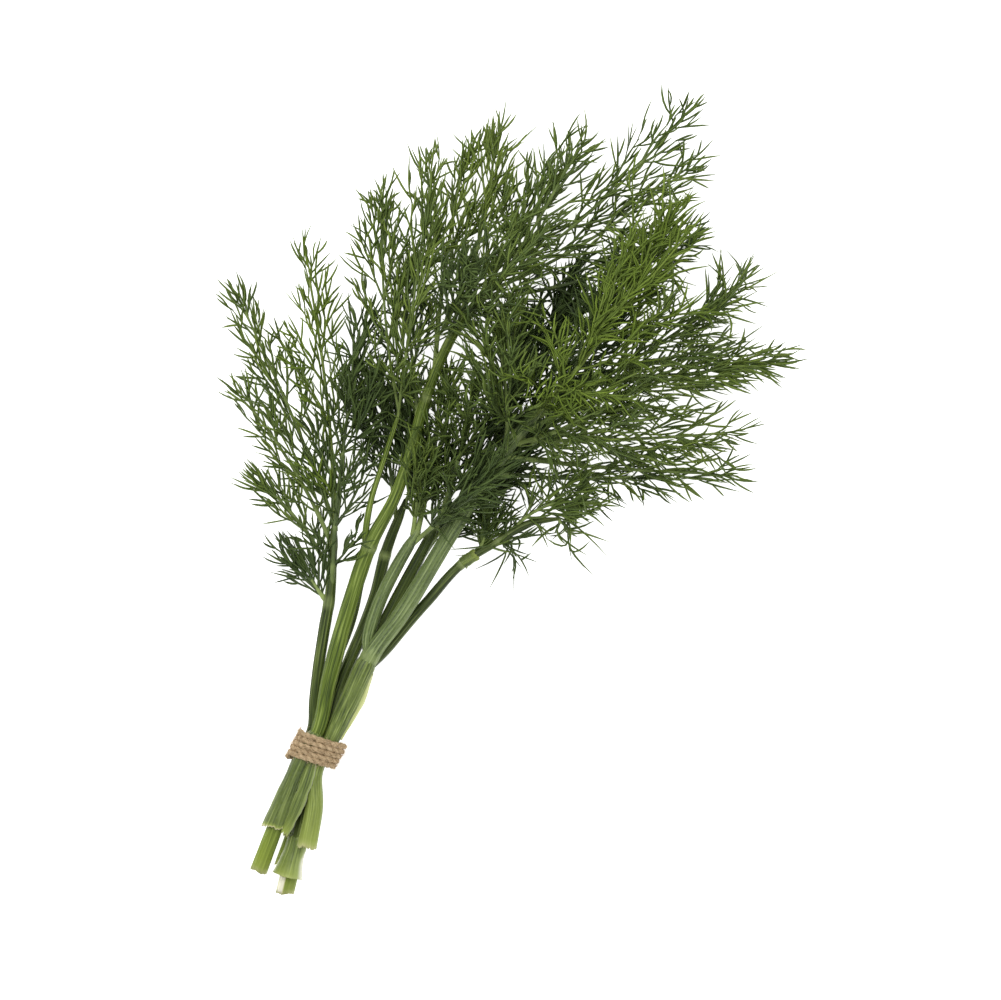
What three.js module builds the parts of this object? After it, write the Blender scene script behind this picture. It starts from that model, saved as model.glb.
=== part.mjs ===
// A bunch of fennel fronds tied with jute twine, lying on its side on a flat surface.
// Millimetres. +Z is up, and +Y runs along the bunch from the cut ends to the frond tips.
// The origin is under the middle of the bunch, on the surface that it lies on.
// Every stalk, leaf sheath and frond is a solid of its own, and the twine binds them together.

import * as THREE from "three";

// The tie: stalks pressed into a round bundle, held by turns of twine that lie side by side.
const BUNDLE_RADIUS = 7.1;
const TWINE_DIAMETER = 1.9;
const TWINE_TURNS = 5;
const TWINE_PITCH = 2.15;
const TWINE_STEPS_A_TURN = 16;
const TWINE_SIDES = 6;
const TWINE_CLEARANCE = 0.4;
const TIE_HEIGHT = BUNDLE_RADIUS + TWINE_CLEARANCE + TWINE_DIAMETER;

// Stalks: round in section, with a step along the path about every two diameters.
const STALK_SIDES = 8;
const STALK_STEP = 11;

// Leaf sheaths: open channels that wrap a stalk.
const SHEATH_THICKNESS = 0.5;
const SHEATH_GAP = 0.4;
const SHEATH_SIDES = 9;
const SHEATH_STEPS = 6;

// Loose strips of sheath: how narrow they start and end, as a share of a half wave.
const STRIP_TAPER = 0.22;

// Fronds: thin, toothed blades on a narrow petiole. They lie over each other like the pages of a book
// that is thick in the middle of the pile and thin at its edge.
const FROND_THICKNESS = 0.9;
const FROND_PAIRS = 6;
const PETIOLE_HALF_WIDTH = 0.8;
const LOBE_LEAN = 0.5;
const LOBE_SWEEP = 0.45;
const LOBE_VALLEY = 0.16;
const FIRST_LOBE_REACH = 0.6;
const LAST_LOBE_SHARE = 0.93;
const TIP_SHARE = 0.985;
const FROND_RISE = 18;
const FROND_GAP = 0.6;
const PILE_EDGE = 17;
const PILE_TOP = 42;
const PILE_MIDDLE = new THREE.Vector2(-6, 168);
const PILE_SPREAD = new THREE.Vector2(78, 78);

// Colours of the living surfaces, with their roughness.
const FINISHES = {
  stalk_bright: { color: 0x7a9f3c, roughness: 0.42 },
  stalk_deep: { color: 0x4c6d2c, roughness: 0.45 },
  stalk_bloomed: { color: 0x6a8a58, roughness: 0.55 },
  sheath: { color: 0x86a552, roughness: 0.5 },
  membrane: { color: 0xd3dd8e, roughness: 0.45 },
  frond_fresh: { color: 0x6f9d2f, roughness: 0.55 },
  frond_green: { color: 0x47702b, roughness: 0.55 },
  frond_dark: { color: 0x2f5226, roughness: 0.6 },
  twine: { color: 0xaa8660, roughness: 0.95 },
};

// Stalks, from the cut end to the last node: [x, y, height, radius] at each point, from the tie's middle.
const STALKS = {
  stalk_left_front: {
    finish: "stalk_bright",
    path: [
      [2, -50.5, 7.2, 3.2], [-1, -26, 10, 2.7], [-2.6, -7, 12.9, 1.75], [-2.7, 7, 13, 1.75],
      [-8, 25, 13.5, 2.6], [-15, 56, 14.5, 2.9], [-18.5, 79, 16, 2.7], [-18.5, 97, 17, 2.2],
      [-21, 115, 18, 2.1], [-26, 138, 19, 2], [-26.5, 173, 21, 1.6], [-20.5, 191, 21, 1.2],
    ],
  },
  stalk_left_back: {
    finish: "stalk_deep",
    path: [
      [-1.5, -32, 4, 2.1], [-3.8, -15, 6.6, 1.9], [-4.7, -5, 8.7, 1.8], [-4.8, 6, 8.8, 1.8], [-9.5, 16, 9, 2],
      [-19, 42, 9, 2.2], [-23, 54, 8.5, 2], [-28.5, 66, 8, 1.8], [-34.5, 79, 7.5, 1.5],
    ],
  },
  petiole_left: {
    finish: "stalk_bright",
    path: [[-22.6, 81, 15, 1.1], [-26, 93, 15.5, 1.1], [-28.5, 107, 16, 1], [-32, 127, 17, 0.9]],
  },
  stalk_right_front: {
    finish: "stalk_bloomed",
    path: [
      [14.5, -33.5, 12.3, 2.5], [9.3, -18, 12.2, 2.1], [3.5, -7.5, 12.4, 1.75], [3, 6, 12.6, 1.75],
      [1.5, 22, 14, 2.4], [1.2, 41, 15, 3], [4, 60, 15.5, 3.1], [5.5, 82, 16, 3], [6.5, 102, 16.5, 2.9],
      [8.5, 123, 17, 2.5], [12, 143, 18, 2.2], [15, 153, 19, 1.9],
    ],
  },
  stalk_right_fork: {
    finish: "stalk_bloomed",
    path: [[-4.6, 46, 12.6, 2.2], [-5.8, 58, 14, 2.3], [-5.8, 74, 15.5, 2.2], [-5, 91, 16.5, 2]],
  },
  stalk_far_right: {
    finish: "stalk_deep",
    path: [
      [6, 45.5, 10.4, 1.7], [7.8, 57, 9.6, 1.9], [10.5, 69, 9.6, 1.9], [15.5, 88, 10, 1.7],
      [22.5, 100, 10.5, 1.4], [30.5, 113, 11, 1.3], [40, 120, 11, 1.1],
    ],
  },
  stalk_middle: {
    finish: "stalk_deep",
    path: [
      [7.8, -45.5, 2.4, 1.7], [4.2, -20, 3, 1.7], [0.9, -2, 4.2, 1.7], [1.1, 12, 4.4, 1.8], [1, 26, 5.6, 2],
      [0, 47, 8.6, 2.2], [0, 62, 9.4, 2.3], [0, 80, 10.6, 2.2], [0, 98, 11.5, 1.8],
    ],
  },
  stalk_dark: {
    finish: "stalk_deep",
    path: [
      [14, -51.5, 4.6, 3.2], [8.3, -29, 6.6, 2.8], [-0.5, -2, 8.2, 2], [-1, 6, 8.3, 2],
      [-3.9, 24.5, 6.8, 2.1], [-6, 49, 5.6, 2.3], [-8, 62, 7, 2.2], [-12, 78, 8.8, 2], [-14.5, 99, 10, 1.5],
    ],
  },
  stalk_thin: {
    finish: "stalk_deep",
    path: [
      [5, -34, 9.6, 1], [0.8, -17, 6.8, 1], [-3, -2, 5, 1], [-3.4, 8, 4.9, 1], [-7.4, 26, 7.2, 0.9],
      [-10.6, 50, 10, 0.8], [-13.8, 63, 11, 0.7],
    ],
  },
};

// Sheaths: the stretch [from, to] of the stalk that each wraps (shares of its path), the radius that it
// opens to at each end, and where its open side begins and ends (turned from straight down, in degrees).
const SHEATHS = {
  sheath_left: { stalk: "stalk_left_front", from: 0.225, to: 0.1, flare: 2.3, opening: [-70, 60] },
  sheath_right: { stalk: "stalk_right_front", from: 0.33, to: 0, flare: 1, opening: [-60, 110] },
  sheath_cup: { stalk: "stalk_dark", from: 0.13, to: 0.05, flare: 2.4, opening: [-75, 75] },
  sheath_node: { stalk: "stalk_far_right", from: 0.5, to: 0.62, flare: 0.9, opening: [-90, 60] },
};

// Strips of leaf sheath that have come away from their stalk: [x, y, height] along each strip, its half
// width at the widest, and how far it leans from lying flat, in degrees.
const STRIPS = {
  sheath_middle: { finish: "sheath", halfWidth: 1.5, lean: 12,
    path: [[1, -7, 16], [3, -15, 15.4], [4.6, -24, 14.2], [5.4, -32, 13]] },
  sheath_membrane: { finish: "membrane", halfWidth: 1.3, lean: -50,
    path: [[6.4, 9, 11.6], [7, 16, 11.8], [7.4, 24, 12.2], [6.2, 34, 13]] },
};

// Fronds: the stalk that each grows from, how far along it (a share of its path), on which side (-1 left,
// 0 end, 1 right), the tip [x, y], the half width, the height in the pile (0 bottom, 1 top) and the bow of
// its midrib to the right.
const FRONDS = [
  ["left", "frond_dark", "stalk_left_back", 0.74, -1, [-46, 63], 6, 0.3, 0],
  ["left", "frond_green", "stalk_left_back", 0.84, -1, [-73, 84], 9, 0, 3],
  ["left", "frond_green", "stalk_left_back", 0.93, -1, [-95, 110], 12, 0.2, 4],
  ["left", "frond_green", "stalk_left_back", 1, 0, [-114, 143], 15, 0, 2],
  ["left", "frond_fresh", "stalk_left_back", 0.97, 1, [-94, 168], 13, 0.42, 4],
  ["left", "frond_dark", "stalk_left_back", 0.9, 1, [-66, 156], 15, 0.54, -4],
  ["top", "frond_green", "petiole_left", 1, 0, [-80, 200], 16, 0.67, -4],
  ["top", "frond_green", "petiole_left", 0.93, 1, [-67, 221], 15, 0.82, 0],
  ["top", "frond_green", "stalk_left_front", 0.82, -1, [-59, 230], 16, 0.36, -3],
  ["top", "frond_dark", "stalk_left_front", 0.74, -1, [-60, 180], 15, 0, 0],
  ["top", "frond_green", "stalk_left_front", 0.9, -1, [-50, 243], 16, 0.5, 2],
  ["top", "frond_green", "stalk_left_front", 0.93, -1, [-26, 242], 17, 0.2, 4],
  ["tip", "frond_green", "stalk_left_front", 1, 0, [14, 285], 16, 0.45, 6],
  ["tip", "frond_green", "stalk_left_front", 0.99, -1, [-19, 254], 12, 0.62, 2],
  ["tip", "frond_green", "stalk_left_front", 0.97, 1, [27, 269], 14, 0.34, 6],
  ["tip", "frond_dark", "stalk_left_front", 0.95, 1, [43, 243], 16, 0.22, 6],
  ["crown", "frond_fresh", "stalk_right_front", 0.96, -1, [10, 234], 20, 1, 3],
  ["crown", "frond_green", "stalk_right_front", 0.985, 1, [61, 230], 17, 0.72, 2],
  ["right", "frond_green", "stalk_right_front", 0.95, 1, [90, 218], 18, 0.47, -6],
  ["right", "frond_green", "stalk_right_front", 0.92, 1, [91, 182], 13, 0.32, 2],
  ["right", "frond_green", "stalk_right_front", 0.88, 1, [97, 166], 14, 0.16, 2],
  ["right", "frond_dark", "stalk_right_front", 0.84, 1, [70, 153], 12, 0, 2],
  ["low", "frond_green", "stalk_far_right", 1, 0, [58, 122], 8, 0.1, 2],
  ["low", "frond_green", "stalk_far_right", 0.8, -1, [47, 140], 11, 0.55, -4],
  ["low", "frond_dark", "stalk_far_right", 0.74, 1, [36, 91], 5, 0, 2],
  ["low", "frond_green", "stalk_far_right", 0.65, -1, [16, 116], 6, 0.3, 0],
  ["crown", "frond_green", "stalk_right_front", 0.9, -1, [-16, 172], 12, 0.8, 2],
  ["crown", "frond_green", "stalk_right_front", 0.91, 1, [46, 174], 16, 0.9, 2],
  ["crown", "frond_dark", "stalk_right_front", 1, 0, [22, 205], 18, 0.6, 2],
  ["crown", "frond_green", "stalk_middle", 1, 0, [-11, 144], 10, 0.45, 2],
  ["crown", "frond_dark", "stalk_right_fork", 0.9, 1, [14, 137], 12, 0.86, 2],
  ["crown", "frond_green", "stalk_right_fork", 0.95, -1, [-28, 121], 8, 0.7, 0],
  ["crown", "frond_green", "stalk_right_fork", 1, 0, [-31, 158], 15, 0.86, 2],
  ["under", "frond_dark", "stalk_dark", 1, 0, [-21, 122], 11, 0.25, 2],
  ["under", "frond_dark", "stalk_dark", 0.95, -1, [-45, 132], 12, 0.1, 0],
  ["under", "frond_dark", "stalk_middle", 0.94, 1, [16, 150], 10, 0.08, 2],
  ["under", "frond_dark", "stalk_middle", 0.87, 1, [10, 205], 14, 0, 2],
  ["crown", "frond_dark", "stalk_left_front", 0.86, -1, [-37, 196], 15, 0.96, 2],
  ["crown", "frond_green", "stalk_left_front", 0.88, 1, [-18, 216], 18, 0.86, 2],
];

const DOWN = -Math.PI / 2;
const radians = THREE.MathUtils.degToRad;
const lerp = THREE.MathUtils.lerp;
const smooth = THREE.MathUtils.smoothstep;

function finished(geometry, name, finish) {
  const material = new THREE.MeshStandardMaterial({ ...FINISHES[finish], metalness: 0 });
  const mesh = new THREE.Mesh(geometry, material);
  mesh.name = name;
  return mesh;
}

// A closed skin over a section that is carried along a curve. section(t) gives the outline as points
// (across, up), anticlockwise; across lies level and square to the path, up is square to both.
function sweep(curve, steps, section, level = new THREE.Vector3(0, 0, 1)) {
  const positions = [];
  const triangles = [];
  const outline = section(0);
  const sides = outline.length;
  for (let i = 0; i <= steps; i += 1) {
    const t = i / steps;
    const place = curve.getPointAt(t);
    const along = curve.getTangentAt(t);
    const across = new THREE.Vector3().crossVectors(along, level).normalize();
    const up = new THREE.Vector3().crossVectors(across, along);
    for (const p of section(t)) {
      positions.push(...place.clone().addScaledVector(across, p.x).addScaledVector(up, p.y).toArray());
    }
  }
  for (let i = 0; i < steps; i += 1) {
    for (let j = 0; j < sides; j += 1) {
      const a = i * sides + j;
      const b = i * sides + ((j + 1) % sides);
      triangles.push(a, b, a + sides, b, b + sides, a + sides);
    }
  }
  const last = steps * sides;
  for (const [a, b, c] of THREE.ShapeUtils.triangulateShape(outline, [])) {
    triangles.push(a, c, b);
    triangles.push(last + a, last + b, last + c);
  }
  for (let i = 0; i < triangles.length; i += 3) {
    [triangles[i + 1], triangles[i + 2]] = [triangles[i + 2], triangles[i + 1]];
  }
  const geometry = new THREE.BufferGeometry();
  geometry.setAttribute("position", new THREE.Float32BufferAttribute(positions, 3));
  geometry.setIndex(triangles);
  geometry.computeVertexNormals();
  return geometry;
}

function circle(radius, sides) {
  return Array.from({ length: sides }, (_, j) => {
    const angle = (j / sides) * 2 * Math.PI;
    return new THREE.Vector2(radius * Math.cos(angle), radius * Math.sin(angle));
  });
}

// A stalk's centre line, and its radius at each share of it.
function stalkLine({ path }) {
  const curve = new THREE.CatmullRomCurve3(path.map(([x, y, z]) => new THREE.Vector3(x, y, z)));
  const lengths = [0];
  for (let i = 1; i < path.length; i += 1) {
    const step = new THREE.Vector3(...path[i]).distanceTo(new THREE.Vector3(...path[i - 1]));
    lengths.push(lengths[i - 1] + step);
  }
  const total = lengths.at(-1);
  const radiusAt = (t) => {
    const i = Math.min(Math.max(lengths.findIndex((l) => l >= t * total), 1), path.length - 1);
    const share = (t * total - lengths[i - 1]) / (lengths[i] - lengths[i - 1]);
    return lerp(path[i - 1][3], path[i][3], THREE.MathUtils.clamp(share, 0, 1));
  };
  return { curve, radiusAt };
}

function makeStalk(name, stalk) {
  const { curve, radiusAt } = stalkLine(stalk);
  const steps = Math.ceil(curve.getLength() / STALK_STEP);
  return finished(sweep(curve, steps, (t) => circle(radiusAt(t), STALK_SIDES)), name, stalk.finish);
}

// An open channel round a stalk: out along its outer wall and back along its inner one.
function makeSheath(name, { stalk, from, to, flare, opening }) {
  const { curve, radiusAt } = stalkLine(STALKS[stalk]);
  const shares = Array.from({ length: SHEATH_STEPS + 1 }, (_, i) => lerp(from, to, i / SHEATH_STEPS));
  const line = new THREE.CatmullRomCurve3(shares.map((share) => curve.getPointAt(share)));
  const start = DOWN + radians(opening[1]);
  const end = DOWN + 2 * Math.PI + radians(opening[0]);
  const section = (t) => {
    const inner = radiusAt(lerp(from, to, t)) + SHEATH_GAP + flare * t * t;
    const walls = [inner + SHEATH_THICKNESS, inner].map((radius) =>
      Array.from({ length: SHEATH_SIDES + 1 }, (_, j) => {
        const angle = lerp(start, end, j / SHEATH_SIDES);
        return new THREE.Vector2(radius * Math.cos(angle), radius * Math.sin(angle));
      }));
    return [...walls[0], ...walls[1].reverse()];
  };
  return finished(sweep(line, SHEATH_STEPS, section), name, "sheath");
}

function makeStrip(name, { finish, halfWidth, lean, path }) {
  const curve = new THREE.CatmullRomCurve3(path.map((p) => new THREE.Vector3(...p)));
  const turn = radians(lean);
  const section = (t) => {
    const half = halfWidth * Math.sin(Math.PI * lerp(STRIP_TAPER, 1 - STRIP_TAPER, t));
    const thick = SHEATH_THICKNESS / 2;
    const corners = [[-half, -thick], [half, -thick], [half, thick], [-half, thick]];
    return corners.map(([x, y]) => new THREE.Vector2(x, y).rotateAround(new THREE.Vector2(), turn));
  };
  return finished(sweep(curve, path.length * 2, section), name, finish);
}

function makeTwine() {
  const radius = BUNDLE_RADIUS + TWINE_CLEARANCE + TWINE_DIAMETER / 2;
  const helix = new THREE.Curve();
  helix.getPoint = (t) => {
    const angle = DOWN + t * TWINE_TURNS * 2 * Math.PI;
    const along = (t - 0.5) * TWINE_TURNS * TWINE_PITCH;
    return new THREE.Vector3(radius * Math.cos(angle), along, TIE_HEIGHT + radius * Math.sin(angle));
  };
  const steps = TWINE_TURNS * TWINE_STEPS_A_TURN;
  const section = () => circle(TWINE_DIAMETER / 2, TWINE_SIDES);
  return finished(sweep(helix, steps, section, new THREE.Vector3(0, 1, 0)), "jute_twine", "twine");
}

// The height of the pile's top over a point of the surface: a low mound.
function pileTop(x, y) {
  const across = (x - PILE_MIDDLE.x) / PILE_SPREAD.x;
  const along = (y - PILE_MIDDLE.y) / PILE_SPREAD.y;
  return PILE_EDGE + (PILE_TOP - PILE_EDGE) * Math.exp(-across * across - along * along);
}

// A frond's outline in its own plane, along its midrib and across it: a narrow petiole, and then pairs of
// pointed lobes that lean towards the tip.
function frondOutline(length, halfWidth) {
  const firstLobe = Math.min(FROND_RISE * 0.7, length * 0.35);
  const right = [[0, PETIOLE_HALF_WIDTH], [firstLobe * 0.5, PETIOLE_HALF_WIDTH]];
  for (let i = 0; i < FROND_PAIRS; i += 1) {
    const share = i / FROND_PAIRS;
    const foot = lerp(firstLobe, length * LAST_LOBE_SHARE, share);
    const swell = (1 - FIRST_LOBE_REACH) * Math.sin(1.3 * Math.PI * share);
    const reach = halfWidth * (FIRST_LOBE_REACH + swell) * Math.sqrt(1 - share * share);
    right.push([foot, PETIOLE_HALF_WIDTH + (i === 0 ? 0 : reach * LOBE_VALLEY)]);
    right.push([foot + (length - firstLobe) / FROND_PAIRS * LOBE_LEAN + reach * LOBE_SWEEP, reach]);
  }
  const outline = right.filter(([along]) => along < length * TIP_SHARE);
  const left = outline.map(([along, across]) => [along, -across]).reverse();
  return [...left, ...outline, [length, 0]];
}

function makeFrond(name, [, finish, stalk, at, side, tip, halfWidth, level, bow]) {
  const { curve, radiusAt } = stalkLine(STALKS[stalk]);
  const root = curve.getPointAt(at);
  const along = curve.getTangentAt(at);
  const right = new THREE.Vector3(along.y, -along.x, 0).normalize();
  const off = side === 0 ? along.clone() : right.clone().multiplyScalar(side);
  const clear = side === 0 ? FROND_GAP : radiusAt(at) + PETIOLE_HALF_WIDTH + FROND_GAP;
  const base = root.clone().addScaledVector(off, clear);
  const from = new THREE.Vector2(base.x, base.y);
  const to = new THREE.Vector2(...tip);
  const heading = to.clone().sub(from).normalize();
  const bowed = from.clone().lerp(to, 0.5).add(new THREE.Vector2(heading.y, -heading.x).multiplyScalar(bow));
  const midrib = new THREE.QuadraticBezierCurve(from, bowed, to);
  const length = midrib.getLength();
  const outline = frondOutline(length, halfWidth).map(([x, y]) => new THREE.Vector2(x, y));
  const flat = { depth: FROND_THICKNESS, bevelEnabled: false };
  const blade = new THREE.ExtrudeGeometry(new THREE.Shape(outline), flat);
  const places = blade.getAttribute("position");
  for (let i = 0; i < places.count; i += 1) {
    const share = THREE.MathUtils.clamp(places.getX(i) / length, 0, 1);
    const point = midrib.getPointAt(share);
    const direction = midrib.getTangentAt(share);
    point.x += direction.y * places.getY(i);
    point.y -= direction.x * places.getY(i);
    const settled = level * pileTop(point.x, point.y);
    const height = lerp(base.z - FROND_THICKNESS / 2, settled, smooth(places.getX(i), 0, FROND_RISE));
    places.setXYZ(i, point.x, point.y, height + FROND_THICKNESS - places.getZ(i));
  }
  blade.computeVertexNormals();
  return finished(blade, name, finish);
}

function makeBunch() {
  const bunch = new THREE.Group();
  for (const [name, stalk] of Object.entries(STALKS)) {
    bunch.add(makeStalk(name, stalk));
  }
  for (const [name, sheath] of Object.entries(SHEATHS)) {
    bunch.add(makeSheath(name, sheath));
  }
  for (const [name, strip] of Object.entries(STRIPS)) {
    bunch.add(makeStrip(name, strip));
  }
  const made = {};
  for (const frond of FRONDS) {
    const group = frond[0];
    made[group] = (made[group] ?? 0) + 1;
    bunch.add(makeFrond(`frond_${group}_${made[group]}`, frond));
  }
  bunch.add(makeTwine());
  const box = new THREE.Box3().setFromObject(bunch);
  const middle = box.getCenter(new THREE.Vector3());
  bunch.position.set(-middle.x, -middle.y, -box.min.z);
  return bunch;
}

export default makeBunch();
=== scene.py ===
"""A bunch of fennel fronds tied with jute twine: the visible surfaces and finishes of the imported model.

The bunch lies on a pale floor, +Y from the cut ends to the frond tips and +Z up. Every stalk, sheath and
frond stands for the CAD node of the same name, on or near its line, but stalks are thicker in the tie and
fronds spread wider than the CAD's plain solids. Lengths are in metres; the paths and sizes below are given in
millimetres from the middle of the tie and turned to metres by mm().
"""

import logging
import math
from dataclasses import dataclass, field
from enum import Enum

import bpy
import numpy as np
from numpy.typing import ArrayLike, NDArray
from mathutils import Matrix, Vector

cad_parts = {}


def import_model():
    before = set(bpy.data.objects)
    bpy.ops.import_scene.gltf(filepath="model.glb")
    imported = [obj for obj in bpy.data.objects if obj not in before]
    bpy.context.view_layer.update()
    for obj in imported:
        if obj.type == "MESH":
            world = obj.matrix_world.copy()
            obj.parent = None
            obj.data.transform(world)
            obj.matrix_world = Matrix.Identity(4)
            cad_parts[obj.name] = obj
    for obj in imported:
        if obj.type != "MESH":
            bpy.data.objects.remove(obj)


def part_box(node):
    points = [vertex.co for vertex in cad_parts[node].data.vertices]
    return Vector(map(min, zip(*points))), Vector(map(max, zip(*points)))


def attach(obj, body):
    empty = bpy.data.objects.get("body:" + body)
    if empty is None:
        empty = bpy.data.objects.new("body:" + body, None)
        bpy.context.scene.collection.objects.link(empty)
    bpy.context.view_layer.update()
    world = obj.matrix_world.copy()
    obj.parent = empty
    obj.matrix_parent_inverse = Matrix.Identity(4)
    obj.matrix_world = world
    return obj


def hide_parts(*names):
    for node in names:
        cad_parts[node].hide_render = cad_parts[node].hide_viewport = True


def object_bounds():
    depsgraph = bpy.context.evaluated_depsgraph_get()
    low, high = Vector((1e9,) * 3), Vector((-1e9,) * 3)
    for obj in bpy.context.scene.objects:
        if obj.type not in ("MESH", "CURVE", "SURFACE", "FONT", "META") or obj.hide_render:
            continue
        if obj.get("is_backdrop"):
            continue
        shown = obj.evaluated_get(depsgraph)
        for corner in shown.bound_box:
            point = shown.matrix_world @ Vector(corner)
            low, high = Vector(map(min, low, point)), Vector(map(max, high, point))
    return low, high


Array = NDArray[np.float64]
Colour = tuple[float, float, float]

BODY = "root"
SEED = 2207
WORLD_UP = np.array([0.0, 0.0, 1.0])
FLOOR_GAP = 0.0002

log = logging.getLogger("bunch")


def mm(values: ArrayLike) -> Array:
    """Millimetres as an array in metres."""
    return np.asarray(values, float) * 0.001


def unit(vectors: Array) -> Array:
    """Each vector over its own length."""
    return vectors / np.maximum(np.linalg.norm(vectors, axis=-1, keepdims=True), 1e-12)


def smooth(share: ArrayLike) -> Array:
    """The smooth step 3t^2 - 2t^3 of a share held between 0 and 1."""
    t = np.clip(np.asarray(share, float), 0.0, 1.0)
    return t * t * (3.0 - 2.0 * t)


def mix(low: ArrayLike, high: ArrayLike, share: ArrayLike) -> Array:
    """low + (high - low) * share."""
    return np.asarray(low) + (np.asarray(high) - np.asarray(low)) * np.asarray(share)


def walk(points: Array) -> Array:
    """The distance walked along points (n, k) to each of them, which starts at nothing."""
    return np.concatenate([[0.0], np.cumsum(np.linalg.norm(np.diff(points, axis=0), axis=1))])


def wave(x: Array, seed: int, octaves: int = 3) -> Array:
    """A smooth wandering between about -1 and 1: a sum of sines, each twice as fine and half as high.

    Args:
        x: Where to take it; one unit is about one wave of the coarsest sine.
        seed: Chooses the phases.
        octaves: How many sines are added.

    Returns:
        The height at each x.
    """
    phases = np.random.default_rng(seed).uniform(0.0, 2.0 * np.pi, octaves)
    waves = [np.sin(2.0 * np.pi * x * 1.9**k + phases[k]) / 2.0**k for k in range(octaves)]
    return sum(waves) / 1.6


# --------------------------------------------------------------------------------------------------
# Meshes
# --------------------------------------------------------------------------------------------------


@dataclass
class Skin:
    """Points and faces that are gathered for one piece, with a four-part tone at each point.

    A piece whose grain follows it also has straight: the place of each point if the piece were straightened.
    """

    points: list[Array] = field(default_factory=list)
    tones: list[Array] = field(default_factory=list)
    straight: Array | None = None
    faces: list[Array] = field(default_factory=list)
    count: int = 0

    def add(self, points: Array, tones: Array, *faces: Array) -> None:
        """Adds points (n, 3) with tones (n, 4), and faces whose numbers start from the first of them.

        Args:
            points: The places.
            tones: The tone at each place, as the finish reads it.
            faces: Arrays (m, 3) or (m, 4) of point numbers.
        """
        self.points.append(points.reshape(-1, 3))
        self.tones.append(tones.reshape(-1, 4))
        self.faces.extend(part + self.count for part in faces)
        self.count += len(self.points[-1])

    def triangles(self) -> int:
        """The number of triangles that the faces make."""
        return sum(len(part) * (part.shape[1] - 2) for part in self.faces)

    def piece(self, name: str, material: bpy.types.Material) -> bpy.types.Object:
        """The mesh as an object at the origin, smooth shaded.

        Args:
            name: The piece's name.
            material: Its finish.

        Returns:
            The object, linked to the scene.
        """
        mesh = bpy.data.meshes.new(name)
        faces = [row for part in self.faces for row in part.tolist()]
        mesh.from_pydata(np.concatenate(self.points).tolist(), [], faces)
        tone = mesh.attributes.new("tone", "FLOAT_COLOR", "POINT")
        tone.data.foreach_set("color", np.concatenate(self.tones).astype(np.float32).ravel())
        if self.straight is not None:
            grain = mesh.attributes.new("grain", "FLOAT_VECTOR", "POINT")
            grain.data.foreach_set("vector", self.straight.astype(np.float32).ravel())
        mesh.polygons.foreach_set("use_smooth", np.ones(len(mesh.polygons), bool))
        mesh.materials.append(material)
        mesh.validate()
        mesh.update()
        made = bpy.data.objects.new(name, mesh)
        bpy.context.scene.collection.objects.link(made)
        return made


def tone(shape: tuple[int, ...], *parts: ArrayLike) -> Array:
    """Parts side by side in a last axis, each spread over the same shape."""
    return np.stack([np.broadcast_to(np.asarray(part, float), shape) for part in parts], axis=-1)


def ring_quads(rings: int, sides: int) -> Array:
    """The quads between rings that close on themselves, facing out of an anticlockwise section.

    Args:
        rings: How many rings.
        sides: How many points each has.

    Returns:
        Arrays (m, 4) of point numbers.
    """
    ring, side = np.meshgrid(np.arange(rings - 1), np.arange(sides), indexing="ij")
    here = ring * sides + side
    beside = ring * sides + (side + 1) % sides
    return np.stack([here, here + sides, beside + sides, beside], axis=-1).reshape(-1, 4)


def pole_fans(rings: int, sides: int) -> Array:
    """The triangles from the first ring to pole rings * sides, and from the last to the pole after it.

    Args:
        rings: How many rings.
        sides: How many points each has.

    Returns:
        Arrays (m, 3) of point numbers.
    """
    side = np.arange(sides)
    beside = (side + 1) % sides
    first = np.stack([np.full(sides, rings * sides), side, beside], axis=-1)
    top = (rings - 1) * sides
    last = np.stack([np.full(sides, rings * sides + 1), top + beside, top + side], axis=-1)
    return np.concatenate([first, last])


def strands(
    skin: Skin, line: Array, normal: Array, width: Array, depth: Array, sides: int, tones: Array
) -> None:
    """Adds a family of tapered strands: an ellipse of the given width and depth is carried along each line.

    A point is line + across * width/2 * cos(a) + up * depth/2 * sin(a), where across and up are square to the
    line. Each end closes in a pole on the line.

    Args:
        skin: Where the strands go.
        line: (n, k, 3) points along each strand.
        normal: (n, 3) the rough upper side of each strand, or (n, k, 3) at each of its points.
        width: (n, k) full width at each point.
        depth: (n, k) full depth at each point.
        sides: How many corners the section has.
        tones: (n, k, 4) the tone at each point.
    """
    count, rings = line.shape[:2]
    along = unit(np.gradient(line, axis=1))
    across = unit(np.cross(along, normal if normal.ndim == 3 else normal[:, None]))
    up = np.cross(across, along)
    angle = np.arange(sides) * 2.0 * np.pi / sides
    round_across = across[:, :, None] * (np.cos(angle) * 0.5)[:, None] * width[:, :, None, None]
    round_up = up[:, :, None] * (np.sin(angle) * 0.5)[:, None] * depth[:, :, None, None]
    body = (line[:, :, None] + round_across + round_up).reshape(count, -1, 3)
    far_pole = line[:, -1:] + along[:, -1:] * depth[:, -1:, None] * 0.5
    points = np.concatenate([body, line[:, :1], far_pole], axis=1)
    body_tones = np.repeat(tones, sides, axis=1)
    all_tones = np.concatenate([body_tones, tones[:, :1], tones[:, -1:]], axis=1)
    shift = (np.arange(count) * points.shape[1])[:, None, None]
    quads = (ring_quads(rings, sides)[None] + shift).reshape(-1, 4)
    fans = (pole_fans(rings, sides)[None] + shift).reshape(-1, 3)
    skin.add(points, all_tones, quads, fans)


# --------------------------------------------------------------------------------------------------
# Finishes
# --------------------------------------------------------------------------------------------------


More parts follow.
